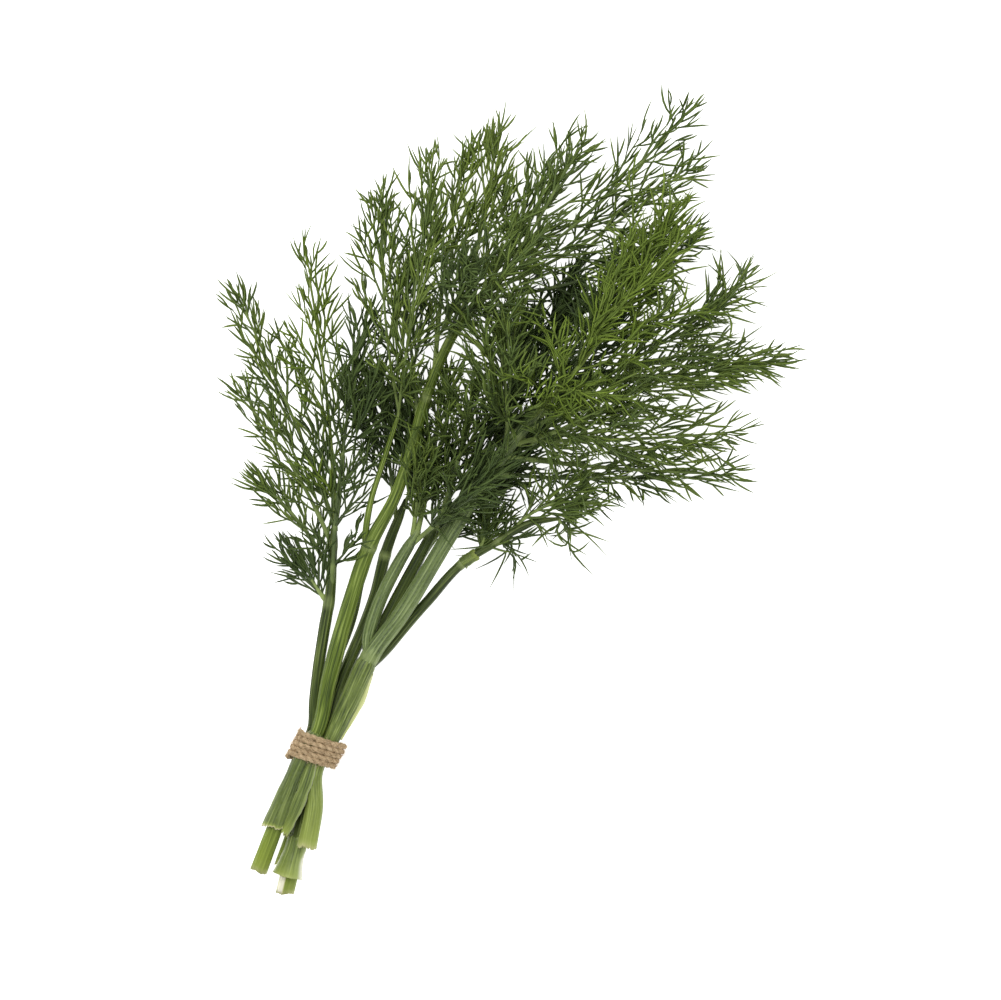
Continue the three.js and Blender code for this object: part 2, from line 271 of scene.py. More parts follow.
class Nodes:
    """A short hand for building a material's node tree."""

    def __init__(self, name: str) -> None:
        """Starts a material with a Principled shader.

        Args:
            name: The material's name.
        """
        self.material = bpy.data.materials.new(name)
        self.material.use_nodes = True
        self.tree = self.material.node_tree
        self.shader = self.tree.nodes["Principled BSDF"]

    def add(self, kind: str, **settings: object) -> bpy.types.Node:
        """A new node with its properties set."""
        node = self.tree.nodes.new(kind)
        for key, value in settings.items():
            setattr(node, key, value)
        return node

    def put(self, value: object, socket: bpy.types.NodeSocket) -> None:
        """Links an output to a socket, or sets a plain value on it."""
        if isinstance(value, bpy.types.NodeSocket):
            self.tree.links.new(value, socket)
        else:
            socket.default_value = value

    def tone_parts(self) -> list[bpy.types.NodeSocket]:
        """The red, green, blue and alpha parts of the piece's tone."""
        source = self.add("ShaderNodeAttribute", attribute_name="tone")
        parts = self.add("ShaderNodeSeparateColor")
        self.put(source.outputs["Color"], parts.inputs["Color"])
        return [parts.outputs["Red"], parts.outputs["Green"], parts.outputs["Blue"], source.outputs["Alpha"]]

    def noise(
        self, scale: float, detail: float = 3.0, stretch: Colour = (1.0, 1.0, 1.0), grain: bool = False
    ) -> bpy.types.NodeSocket:
        """A noise in waves a metre.

        Args:
            scale: Waves a metre.
            detail: How many finer waves are added.
            stretch: The scale along each axis.
            grain: Whether it follows the straightened piece, whose length is its Z, or the object's space.

        Returns:
            The noise, around a half.
        """
        if grain:
            place = self.add("ShaderNodeAttribute", attribute_name="grain").outputs["Vector"]
        else:
            place = self.add("ShaderNodeTexCoord").outputs["Object"]
        turn = self.add("ShaderNodeMapping")
        self.put(place, turn.inputs["Vector"])
        self.put(stretch, turn.inputs["Scale"])
        texture = self.add("ShaderNodeTexNoise")
        self.put(turn.outputs["Vector"], texture.inputs["Vector"])
        self.put(scale, texture.inputs["Scale"])
        self.put(detail, texture.inputs["Detail"])
        return texture.outputs["Fac"]

    def sway(self, value: object, amount: float) -> bpy.types.NodeSocket:
        """A value around a half, moved to lie around nothing and made larger by amount."""
        return self.math("MULTIPLY", self.math("SUBTRACT", value, 0.5), amount)

    def math(
        self, operation: str, first: object, second: object = 0.0, clamp: bool = False
    ) -> bpy.types.NodeSocket:
        """One sum on two numbers."""
        node = self.add("ShaderNodeMath", operation=operation, use_clamp=clamp)
        self.put(first, node.inputs[0])
        self.put(second, node.inputs[1])
        return node.outputs[0]

    def spread(self, value: object, low: float, high: float) -> bpy.types.NodeSocket:
        """A share from 0 to 1 spread over low to high."""
        node = self.add("ShaderNodeMapRange")
        self.put(value, node.inputs["Value"])
        self.put(low, node.inputs["To Min"])
        self.put(high, node.inputs["To Max"])
        return node.outputs["Result"]

    def ramp(self, value: object, *stops: tuple[float, Colour]) -> bpy.types.NodeSocket:
        """A colour ramp.

        Args:
            value: The share that it reads.
            stops: Each stop's share and colour.

        Returns:
            The colour.
        """
        node = self.add("ShaderNodeValToRGB")
        ends = node.color_ramp.elements
        while len(ends) < len(stops):
            ends.new(0.5)
        for end, (share, colour) in zip(ends, stops):
            end.position = share
            end.color = (*colour, 1.0)
        self.put(value, node.inputs["Fac"])
        return node.outputs["Color"]

    def blend(self, share: object, first: object, second: object) -> bpy.types.NodeSocket:
        """A mix of two colours."""
        node = self.add("ShaderNodeMix", data_type="RGBA")
        self.put(share, node.inputs["Factor"])
        for value, socket in ((first, node.inputs[6]), (second, node.inputs[7])):
            self.put((*value, 1.0) if isinstance(value, tuple) else value, socket)
        return node.outputs[2]

    def bump(self, height: object, strength: float, distance: float) -> None:
        """Presses a height, in steps of distance metres, into the shader's normal."""
        node = self.add("ShaderNodeBump")
        self.put(strength, node.inputs["Strength"])
        self.put(distance, node.inputs["Distance"])
        self.put(height, node.inputs["Height"])
        self.put(node.outputs["Normal"], self.shader.inputs["Normal"])

    def set(self, **values: object) -> bpy.types.Material:
        """Sets the shader's own sockets by name, with _ for a space, and returns the material."""
        for key, value in values.items():
            value = (*value, 1.0) if isinstance(value, tuple) else value
            self.put(value, self.shader.inputs[key.replace("_", " ")])
        return self.material


@dataclass(frozen=True)
class FrondFinish:
    """The finish of feathery leaves. Tone: chance tint, share along, order of branch, pale node."""

    name: str
    dark: Colour
    middle: Colour
    bright: Colour
    rib: Colour
    roughness: float = 0.5

    def material(self) -> bpy.types.Material:
        """Green by chance tint and a slow drift over the bunch, paler on the ribs and at the nodes, with a
        painted highlight that lightens the threads towards their tips.
        """
        nodes = Nodes(self.name + "_finish")
        tint, along, order, pale = nodes.tone_parts()
        drift = nodes.noise(26.0, 2.0)
        fine = nodes.noise(420.0, 2.0)
        amount = nodes.math("ADD", nodes.math("MULTIPLY", tint, 0.62), nodes.math("MULTIPLY", drift, 0.3))
        amount = nodes.math("ADD", amount, nodes.math("MULTIPLY", fine, 0.12), clamp=True)
        blade = nodes.ramp(amount, (0.12, self.dark), (0.5, self.middle), (0.92, self.bright))
        # Painted highlight: each thread is blended towards the bright colour along its length, most at its
        # tip.
        tip = nodes.math("MULTIPLY", nodes.math("MULTIPLY", along, order), 0.42)
        blade = nodes.blend(tip, blade, self.bright)
        stem = nodes.math("SUBTRACT", 1.0, order, clamp=True)
        colour = nodes.blend(nodes.math("MULTIPLY", stem, 0.75), blade, self.rib)
        colour = nodes.blend(pale, colour, (0.33, 0.42, 0.13))
        nodes.bump(nodes.noise(1600.0, 2.0), 0.25, 0.0002)
        rough = nodes.spread(fine, self.roughness - 0.08, self.roughness + 0.14)
        return nodes.set(Base_Color=colour, Roughness=rough, Specular_IOR_Level=0.18)


@dataclass(frozen=True)
class StalkFinish:
    """The finish of ribbed stalks and sheaths. Tone: rib crest, pale node or margin, cut end, light."""

    name: str
    groove: Colour
    flesh: Colour
    crest: Colour
    end: Colour
    bloom: float = 0.0
    roughness: float = 0.42

    def material(self) -> bpy.types.Material:
        """Pale crests over darker grooves, streaked along the stalk, with pale nodes and browned cut ends.

        Light mixes from the groove's colour to the full one, so it darkens a shaded sheath.

        Returns:
            The material.
        """
        nodes = Nodes(self.name + "_finish")
        crest, pale, cut, light = nodes.tone_parts()
        fine = nodes.noise(3200.0, 3.0, (1.0, 1.0, 0.02), True)
        streak = nodes.noise(1300.0, 2.0, (1.0, 1.0, 0.03), True)
        drift = nodes.noise(60.0, 2.0, (1.0, 1.0, 0.6), True)
        rib = nodes.math("ADD", nodes.sway(crest, 0.4), nodes.sway(streak, 1.9))
        rib = nodes.math("ADD", rib, nodes.sway(fine, 1.8))
        rib = nodes.math("ADD", rib, nodes.sway(drift, 0.8))
        rib = nodes.math("ADD", rib, 0.45, clamp=True)
        colour = nodes.ramp(rib, (0.0, self.groove), (0.55, self.flesh), (1.0, self.crest))
        colour = nodes.blend(light, self.groove, colour)
        if self.bloom > 0.0:
            dust = nodes.noise(2400.0, 4.0, (1.0, 1.0, 0.4), True)
            share = nodes.math("MULTIPLY", nodes.sway(dust, 3.0), self.bloom)
            share = nodes.math("ADD", share, self.bloom * 0.6, clamp=True)
            colour = nodes.blend(share, colour, (0.30, 0.35, 0.22))
        ramp = nodes.ramp(cut, (0.3, self.end), (0.6, (0.55, 0.54, 0.26)), (0.9, (0.82, 0.79, 0.62)))
        colour = nodes.blend(nodes.math("MULTIPLY", cut, 2.0, True), colour, ramp)
        pale_ramp = nodes.ramp(pale, (0.55, (0.36, 0.44, 0.16)), (0.8, (0.80, 0.80, 0.66)))
        colour = nodes.blend(pale, colour, pale_ramp)
        height = nodes.math("ADD", streak, nodes.math("MULTIPLY", fine, 0.6))
        nodes.bump(height, 0.5, 0.0003)
        rough = nodes.spread(streak, self.roughness - 0.08, self.roughness + 0.16)
        return nodes.set(Base_Color=colour, Roughness=rough, Specular_IOR_Level=0.25)


@dataclass(frozen=True)
class JuteFinish:
    """The finish of jute twine. Tone: painted shade where a ply turns into the groove between plies, chance
    fibre tint, -, -.
    """

    name: str
    fibre: Colour
    shade: Colour

    def material(self) -> bpy.types.Material:
        """Straw brown fibres, with painted shade between the plies, rough and finely furrowed."""
        nodes = Nodes(self.name + "_finish")
        groove, tint, _, _ = nodes.tone_parts()
        fibre = nodes.noise(1300.0, 5.0, (0.8, 3.4, 0.8))
        amount = nodes.math("ADD", nodes.math("MULTIPLY", fibre, 1.5), nodes.math("MULTIPLY", tint, 0.45))
        amount = nodes.math("SUBTRACT", amount, 0.4, clamp=True)
        colour = nodes.ramp(amount, (0.2, self.shade), (0.8, self.fibre))
        # Painted shade: the colour darkens toward the shade colour where the ply has turned in between the
        # plies.
        colour = nodes.blend(nodes.math("MULTIPLY", groove, 0.85), colour, self.shade)
        nodes.bump(fibre, 0.8, 0.0005)
        return nodes.set(Base_Color=colour, Roughness=0.92, Specular_IOR_Level=0.2)


@dataclass(frozen=True)
class FloorFinish:
    """The pale floor, which glows a little so that it stays pale under the bunch."""

    name: str
    colour: Colour
    glow: float

    def material(self) -> bpy.types.Material:
        """A matt, nearly white surface."""
        nodes = Nodes(self.name)
        return nodes.set(
            Base_Color=self.colour, Roughness=0.9, Specular_IOR_Level=0.1,
            Emission_Color=self.colour, Emission_Strength=self.glow,
        )


class Finish(Enum):
    """The record's material slots and the finishes that they take."""

    BRIGHT = StalkFinish(
        "stalk_bright", (0.040, 0.066, 0.010), (0.132, 0.192, 0.022),
        (0.290, 0.370, 0.090), (0.30, 0.38, 0.050),
    )
    DEEP = StalkFinish(
        "stalk_deep", (0.022, 0.036, 0.008), (0.070, 0.102, 0.017), (0.185, 0.235, 0.065), (0.28, 0.36, 0.045)
    )
    BLOOMED = StalkFinish(
        "stalk_bloomed", (0.042, 0.070, 0.016), (0.128, 0.185, 0.042),
        (0.310, 0.390, 0.155), (0.30, 0.38, 0.07), 0.24, 0.5,
    )
    SHEATH = StalkFinish(
        "sheath", (0.042, 0.066, 0.012), (0.140, 0.192, 0.034),
        (0.320, 0.395, 0.115), (0.36, 0.44, 0.085), 0.12,
    )
    MEMBRANE = StalkFinish(
        "membrane", (0.45, 0.50, 0.16), (0.68, 0.72, 0.34), (0.85, 0.86, 0.58), (0.65, 0.66, 0.36)
    )
    FRESH = FrondFinish(
        "frond_fresh", (0.044, 0.074, 0.012), (0.098, 0.152, 0.020),
        (0.210, 0.300, 0.036), (0.15, 0.20, 0.040),
    )
    GREEN = FrondFinish(
        "frond_green", (0.030, 0.050, 0.018), (0.072, 0.116, 0.026),
        (0.178, 0.245, 0.042), (0.130, 0.178, 0.050),
    )
    # Painted shade: darker greens that also stand in for the shade deep in the bunch and under the fronds
    # above.
    DARK = FrondFinish(
        "frond_dark", (0.020, 0.036, 0.015), (0.046, 0.076, 0.020),
        (0.105, 0.155, 0.036), (0.095, 0.130, 0.050),
    )
    JUTE = JuteFinish("jute_twine", (0.71, 0.545, 0.335), (0.23, 0.145, 0.072))

    def material(self) -> bpy.types.Material:
        """This slot's material, made once."""
        return bpy.data.materials.get(self.value.name + "_finish") or self.value.material()


# --------------------------------------------------------------------------------------------------
# Lines through the bunch
# --------------------------------------------------------------------------------------------------


@dataclass
class Line:
    """A smooth line through [x, y, height, radius] points, read by the share of its length."""

    points: Array
    steps: int = 400

    def __post_init__(self) -> None:
        """Lays a cubic through the points, its slope at each being that of its two neighbours."""
        knots = walk(self.points[:, :3])
        slopes = np.gradient(self.points, knots, axis=0)
        at = np.linspace(0.0, knots[-1], self.steps)
        piece = np.clip(np.searchsorted(knots, at, side="right") - 1, 0, len(knots) - 2)
        span = (knots[piece + 1] - knots[piece])[:, None]
        t = (at[:, None] - knots[piece][:, None]) / span
        start, end = self.points[piece], self.points[piece + 1]
        lift = (t**3 - 2 * t**2 + t) * span * slopes[piece] + (t**3 - t**2) * span * slopes[piece + 1]
        self.table = mix(start, end, 3 * t**2 - 2 * t**3) + lift
        walked = walk(self.table[:, :3])
        self.length = float(walked[-1])
        self.walked = walked / walked[-1]
        self.tangents = unit(np.gradient(self.table[:, :3], axis=0))

    def _read(self, table: Array, shares: ArrayLike) -> Array:
        """The rows of a table at shares of the length."""
        return np.stack([np.interp(shares, self.walked, column) for column in table.T], axis=-1)

    def place(self, shares: ArrayLike) -> Array:
        """The places at shares of the length."""
        return self._read(self.table[:, :3], shares)

    def along(self, shares: ArrayLike) -> Array:
        """The unit tangents at shares of the length."""
        return unit(self._read(self.tangents, shares))

    def radius(self, shares: ArrayLike) -> Array:
        """The radii at shares of the length."""
        return np.interp(shares, self.walked, self.table[:, 3])

    def frame(self, shares: ArrayLike) -> tuple[Array, Array, Array, Array]:
        """Place, tangent, level across and up at shares of the length."""
        along = self.along(shares)
        across = unit(np.cross(along, WORLD_UP))
        return self.place(shares), along, across, np.cross(across, along)


def tie_middle() -> Array:
    """The point on the floor under the middle of the tie, from the twine's own box."""
    low, high = (np.array(corner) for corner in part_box("jute_twine"))
    return np.array([(low[0] + high[0]) / 2, (low[1] + high[1]) / 2, 0.0])


def from_tie(path: ArrayLike) -> Array:
    """Points in millimetres from the tie, in the row's frame in metres; further columns keep their place."""
    moved = mm(path)
    moved[..., :3] += tie_middle()
    return moved


@dataclass
class Mound:
    """The low mound that the fronds make: its height over a point of the floor."""

    edge: float = 0.017
    top: float = 0.040
    middle: tuple[float, float] = (-0.006, 0.168)
    spread: float = 0.078

    def height(self, x: Array, y: Array) -> Array:
        """edge + (top - edge) * exp(-d^2), where d is the distance from the middle in spreads."""
        tie = tie_middle()
        across = (x - tie[0] - self.middle[0]) / self.spread
        along = (y - tie[1] - self.middle[1]) / self.spread
        return self.edge + (self.top - self.edge) * np.exp(-across * across - along * along)


# --------------------------------------------------------------------------------------------------
# Stalks and sheaths
# --------------------------------------------------------------------------------------------------


@dataclass
class Piece:
    """A thing that becomes one Blender piece and stands for one CAD node."""

    node: str
    finish: Finish

    @property
    def seed(self) -> int:
        """A number of the piece's own, from the letters of its node's name."""
        return sum(map(ord, self.node))

    def skin(self) -> Skin:
        """The piece's points and faces."""
        raise NotImplementedError

    def make(self) -> int:
        """Builds the piece, rides it on its body and reports it.

        Returns:
            The number of triangles made.
        """
        skin = self.skin()
        for points in skin.points:
            np.maximum(points[:, 2], FLOOR_GAP, out=points[:, 2])
        made = skin.piece(self.node + "_surface", self.finish.material())
        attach(made, BODY)
        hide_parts(self.node)
        log.info("%s: %d triangles", made.name, skin.triangles())
        return skin.triangles()


@dataclass
class Stalk(Piece):
    """A ribbed stalk with swollen pale nodes and, where it was cut, a torn rim round soft pith.

    peeled is the length at the cut over which one side has lost its skin, and shows the pith.
    """

    path: list[list[float]]
    nodes: tuple[float, ...] = ()
    ribs: int = 11
    rib_height: float = 0.045
    cut: bool = False
    slant: tuple[float, float] = (0.0, 0.0)
    sides: int = 40
    step: float = 0.0022
    swelling: float = 0.15
    node_length: float = 0.0014
    narrowing: float = 0.4
    peeled: float = 0.0

    def __post_init__(self) -> None:
        """Reads the path into a line."""
        self.line = Line(from_tie(self.path))

    def skin(self) -> Skin:
        """A point is place + radius * (1 + rib * cos(ribs * a)) * (across * cos(a) + up * sin(a)).

        The radius swells at each node. At a cut the first rings turn in over the rim and down to the pith.
        """
        line = self.line
        shares = np.linspace(0.0, 1.0, max(12, int(line.length / self.step)))
        place, along, across, up = line.frame(shares)
        angle = np.arange(self.sides) * 2.0 * np.pi / self.sides
        seed = self.seed
        swell, pale = np.zeros_like(shares), np.zeros_like(shares)
        for node in self.nodes:
            away = (shares - node) * line.length / self.node_length
            swell += np.exp(-away * away)
            pale += np.exp(-((away * 1.5) ** 2))
        twist = 0.35 * wave(shares * line.length / 0.11, seed)
        ripple = np.cos(self.ribs * angle[None] + twist[:, None] * 3.0) + 0.5 * np.cos(
            (self.ribs * 2 + 3) * angle[None] + seed
        )
        fade = 1.0 - 0.7 * np.clip(swell, 0.0, 1.0)
        uneven = 0.025 * wave(shares * line.length / 0.03, seed)
        radius = line.radius(shares) * (1.0 + self.swelling * swell + uneven)
        radius *= 1.0 - self.narrowing * smooth(1.0 - (1.0 - shares) * line.length / 0.008)
        reach = radius[:, None] * (1.0 + self.rib_height * ripple * fade[:, None])
        out = across[:, None] * np.cos(angle)[:, None] + up[:, None] * np.sin(angle)[:, None]
        points = place[:, None] + out * reach[..., None]
        run = shares * line.length
        ending = np.exp(-((run / 0.016) ** 2)) * 0.34 if self.cut else np.zeros_like(run)
        bare_side = smooth(2.2 - np.abs(angle - 2.35) / 0.26)[None]
        bare = bare_side * smooth((self.peeled - run) / 0.001 + 0.5)[:, None]
        pale = np.clip(pale, 0.0, 0.55)[:, None]
        tones = tone(reach.shape, 0.5 + 0.33 * ripple, pale, ending[:, None] + bare, 1.0)
        skin = Skin()
        grain = tone(reach.shape, reach * np.cos(angle), reach * np.sin(angle), run[:, None])
        if self.cut:
            points, tones = self._torn(points, tones, run, along[0], angle, seed)
            grain = np.concatenate([np.repeat(grain[:1], 4, axis=0), grain])
        rings = len(points)
        poles = np.stack([points[0].mean(axis=0), place[-1] + along[-1] * radius[-1] * 0.6])
        pole_tones = np.stack([tones[0, 0], tones[-1, 0]])
        skin.straight = np.concatenate([grain.reshape(-1, 3), grain[0, :1], grain[-1, :1]])
        skin.add(
            np.concatenate([points.reshape(-1, 3), poles]),
            np.concatenate([tones.reshape(-1, 4), pole_tones]),
            ring_quads(rings, self.sides),
            pole_fans(rings, self.sides),
        )
        return skin

    def _torn(
        self, points: Array, tones: Array, run: Array, along: Array, angle: Array, seed: int
    ) -> tuple[Array, Array]:
        """Puts rings inside the rim, down to the pith, and tears and slants the first few rings.

        Args:
            points: (k, s, 3) the stalk's rings.
            tones: (k, s, 4) their tones.
            run: (k,) each ring's distance from the cut.
            along: The stalk's heading at the cut, into the stalk.
            angle: The corners' angles.
            seed: Chooses the tears.

        Returns:
            The rings and tones with the inner ones put first.
        """
        tear = 0.00035 * wave(angle / (2.0 * np.pi) * 3.0, seed, 5)
        slope = self.slant[0] * 0.001 * (1.0 + np.cos(angle - math.radians(self.slant[1])))
        fade = np.clip(1.0 - run / 0.022, 0.0, 1.0) ** 2
        points = points + along * (fade[:, None] * (tear + slope))[..., None]
        rim = points[0]
        middle = rim.mean(axis=0)
        inner = [(0.90, 0.0001, 0.55), (0.84, 0.0005, 0.8), (0.62, 0.0009, 1.0), (0.3, 0.0011, 1.0)]
        rings = [middle + (rim - middle) * share + along * depth for share, depth, _ in inner]
        shades = [tone(rim.shape[:1], 0.5, 0.0, cut, 1.0) for _, _, cut in inner]
        tones[0, :, 2] = 0.5
        points = np.concatenate([np.stack(rings)[::-1], points])
        return points, np.concatenate([np.stack(shades)[::-1], tones])


@dataclass
class Channel(Piece):
    """A leaf sheath: an open channel that wraps a stalk, flares and ends in a torn edge.

    A larger margin gives narrower pale edges, white makes them whiter, and light below 1 darkens the channel.
    """

    stalk: Stalk
    start: float
    end: float
    flare: float
    opening: tuple[float, float]
    tear: float = 1.0
    slant: float = 0.0
    browned: float = 0.5
    ripe: float = 0.35
    margin: float = 16.0
    white: float = 0.0
    light: float = 1.0
    ribs: int = 26
    thickness: float = 0.0005
    gap: float = 0.0003
    sides: int = 54
    rings: int = 44

    def skin(self) -> Skin:
        """A point is place + (inner radius + gap + flare * t^2.2) * (across * cos(a) + up * sin(a)).

        The outer wall runs round from one edge of the opening to the other, and the inner wall back. The
        wall rises out of the stalk at the start, where the channel is closed, and opens from there. Towards
        the end each point also moves along by a slant and by a tear that wanders with the angle.
        """
        t = np.linspace(0.0, 1.0, self.rings)
        shares = mix(self.start, self.end, t)
        place, along, across, up = self.stalk.line.frame(shares)
        if self.end < self.start:
            across, along = -across, -along
        opened = smooth(t * 1.6)[:, None]
        low = -math.pi / 2 + math.radians(self.opening[1]) * opened
        high = 1.5 * math.pi + math.radians(self.opening[0]) * opened
        x = np.linspace(0.0, 1.0, self.sides)
        turn = mix(low, high, x)
        edge = np.minimum(x, 1.0 - x)
        rising = smooth(t * 22.0)
        thick = self.thickness * (0.3 + 0.7 * smooth(edge * 8.0))[None] * (0.5 + 0.5 * rising)[:, None]
        seed = self.seed
        ripple = np.cos(self.ribs * turn) * 0.00005 + wave(t * 2.0, seed)[:, None] * 0.0001
        inner = self.stalk.line.radius(shares) + mix(-0.0006, self.gap, rising) + self.flare * 0.001 * t**2.2
        ragged = 0.6 * wave(x * 2.3, seed, 3) + 0.4 * wave(x * 13.0, seed + 1, 4)
        shift = 0.001 * (self.tear * ragged + self.slant * np.cos(turn[-1])) * (t**7)[:, None]
        walls = []
        for wall in (thick + ripple, np.zeros_like(ripple)):
            reach = inner[:, None] + wall
            out = across[:, None] * np.cos(turn)[..., None] + up[:, None] * np.sin(turn)[..., None]
            walls.append(place[:, None] + out * reach[..., None] + along[:, None] * shift[..., None])
        points = np.concatenate([walls[0], walls[1][:, ::-1]], axis=1)
        crest = 0.5 + 0.45 * np.cos(self.ribs * turn)
        pale = (0.55 + self.white) * (1.0 - smooth(edge * self.margin))[None] * rising[:, None]
        pale = pale + 0.2 * np.exp(-((t * 80.0) ** 2))[:, None]
        ending = self.ripe * (t**3.5)[:, None] + self.browned * np.clip((t - 0.97) / 0.03, 0.0, 1.0)[:, None]
        pale = np.clip(pale, 0.0, 0.55 + self.white)
        tones = tone(walls[0].shape[:2], crest, pale, np.clip(ending, 0.0, 0.8), self.light)
        lining = tone(walls[0].shape[:2], crest, 0.45, 0.5 * (t**3)[:, None], 1.0)
        radius = self.stalk.line.radius(shares)[:, None]
        run = (shares * self.stalk.line.length)[:, None]
        grain = tone(turn.shape, radius * np.cos(turn), radius * np.sin(turn), run)
        skin = Skin(straight=np.concatenate([grain, grain[:, ::-1]], axis=1))
        tones = np.concatenate([tones, lining[:, ::-1]], axis=1)
        skin.add(points, tones, *shell_faces(self.rings, self.sides))
        return skin


def shell_faces(rings: int, sides: int) -> tuple[Array, Array]:
    """The quads of a closed shell whose section runs out along one wall and back along the other.

    Args:
        rings: How many sections.
        sides: How many points each wall has in a section.

    Returns:
        The wall quads, and the quads that close the two ends.
    """
    walls = ring_quads(rings, sides * 2)
    j = np.arange(sides - 1)
    near = np.stack([j, j + 1, 2 * sides - 2 - j, 2 * sides - 1 - j], axis=-1)
    far = near[:, ::-1] + (rings - 1) * sides * 2
    return walls, np.concatenate([near, far])


@dataclass
class Strip(Piece):
    """A loose strip of sheath: a thin ribbon with pale edges, bowed across and torn at its end."""

    path: list[list[float]]
    half_width: float
    lean: float
    bow: float = 0.5
    thickness: float = 0.0005
    taper: float = 0.22
    rings: int = 40
    sides: int = 14

    def skin(self) -> Skin:
        """A point is place + across * w * x + up * bow * w * (1 - x^2), turned by the lean, on two walls."""
        line = Line(from_tie([[*p, 0.0] for p in self.path]))
        t = np.linspace(0.0, 1.0, self.rings)
        place, along, across, up = line.frame(t)
        lean = math.radians(self.lean)
        wide = across * math.cos(lean) + up * math.sin(lean)
        high = up * math.cos(lean) - across * math.sin(lean)
        x = np.linspace(-1.0, 1.0, self.sides)
        seed = self.seed
        half = self.half_width * 0.001 * np.sin(np.pi * mix(self.taper, 1.0 - self.taper, t))
        half = half * (1.0 + 0.12 * wave(t * 3.0, seed))
        shift = 0.001 * wave(x * 1.4, seed)[None] * (t**8)[:, None]
        walls = []
        for side in (0.5, -0.5):
            rise = self.bow * half[:, None] * (1.0 - x[None] ** 2) + side * self.thickness
            flat = place[:, None] + wide[:, None] * (half[:, None] * x[None])[..., None]
            walls.append(flat + high[:, None] * rise[..., None] + along[:, None] * shift[..., None])
        points = np.concatenate([walls[1], walls[0][:, ::-1]], axis=1)
        crest = 0.5 + 0.4 * np.cos(x * 16.0)
        pale = 0.7 * smooth((np.abs(x) - 0.6) / 0.4)
        tones = tone(walls[0].shape[:2], crest, pale, 0.4 * (t**8)[:, None], 1.0)
        grain = tone(walls[0].shape[:2], half[:, None] * x, 0.0, (t * line.length)[:, None])
        skin = Skin(straight=np.concatenate([grain, grain[:, ::-1]], axis=1))
        tones = np.concatenate([tones, tones[:, ::-1]], axis=1)
        skin.add(points, tones, *shell_faces(self.rings, self.sides))
        return skin


# --------------------------------------------------------------------------------------------------
# Fronds
# --------------------------------------------------------------------------------------------------


@dataclass
class Shoots:
    """A family of shoots. Each is the arc origin + length * (t * heading + t^2 * bend), t from 0 to 1."""

    origin: Array
    heading: Array
    normal: Array
    length: Array
    bend: Array

    def place(self, t: Array) -> Array:
        """Places (n, m, 3) at shares (n, m)."""
        arc = t[..., None] * self.heading[:, None] + (t**2)[..., None] * self.bend[:, None]
        return self.origin[:, None] + self.length[:, None, None] * arc

    def along(self, t: Array) -> Array:
        """Unit tangents (n, m, 3) at shares (n, m)."""
        return unit(self.heading[:, None] + 2.0 * t[..., None] * self.bend[:, None])


def sprout(
    rng: np.random.Generator, place: Array, along: Array, normal: Array, hand: Array, lean: Array,
    length: Array, rise: Array, curl: float,
) -> Shoots:
    """Side shoots that leave places on their parents.

    The heading is along * cos(lean) + out * sin(lean), where out is across or against the parent's side,
    tilted out of its plane by chance. A shoot bends back to its parent's heading, and a little by chance.

    Args:
        rng: Chance.
        place: (n, 3) where each starts.
        along: (n, 3) the parent's heading there.
        normal: (n, 3) the parent's upper side.
        hand: (n,) 1 for the right side and -1 for the left.
        lean: (n,) the angle to the parent, in radians.
        length: (n,) the shoots' lengths.
        rise: (n,) the angle out of the parent's plane, in radians.
        curl: The usual bend by chance.

    Returns:
        The shoots.
    """
    count = len(place)
    side = unit(np.cross(along, normal)) * hand[:, None]
    out = side * np.cos(rise)[:, None] + normal * np.sin(rise)[:, None]
    heading = unit(along * np.cos(lean)[:, None] + out * np.sin(lean)[:, None])
    rough = normal + rng.normal(0.0, 0.35, (count, 3))
    upper = unit(rough - heading * np.sum(rough * heading, axis=1, keepdims=True))
    onward = along - heading * np.sum(along * heading, axis=1, keepdims=True)
    bend = onward * rng.uniform(0.15, 0.65, count)[:, None] + rng.normal(0.0, curl, (count, 3))
    return Shoots(place, heading, upper, length, bend)


@dataclass(frozen=True)
class Habit:
    """How a frond grows: its rows of side ribs, how far they spread and curl, and how close they stand."""

    ranks: int = 2
    spread: float = 1.0
    curl: float = 0.15
    tilt: float = 0.26
    pair_step: float = 0.0115
    twig_step: float = 0.0068
    thread: float = 1.0


OPEN = Habit()
AIRY = Habit(pair_step=0.0135, twig_step=0.0078)
FULL = Habit(ranks=3, spread=1.0, curl=0.16, tilt=0.42, pair_step=0.0125)
CURLED = Habit(ranks=4, spread=1.2, curl=0.42, tilt=0.60, pair_step=0.0110, twig_step=0.0064, thread=0.8)
CROWDED = Habit(ranks=4, spread=1.4, curl=0.26, tilt=0.60, pair_step=0.0105, twig_step=0.0064)
SPARSE = Habit(spread=0.9, curl=0.8, tilt=0.3, pair_step=0.0130, twig_step=0.0120, thread=0.8)


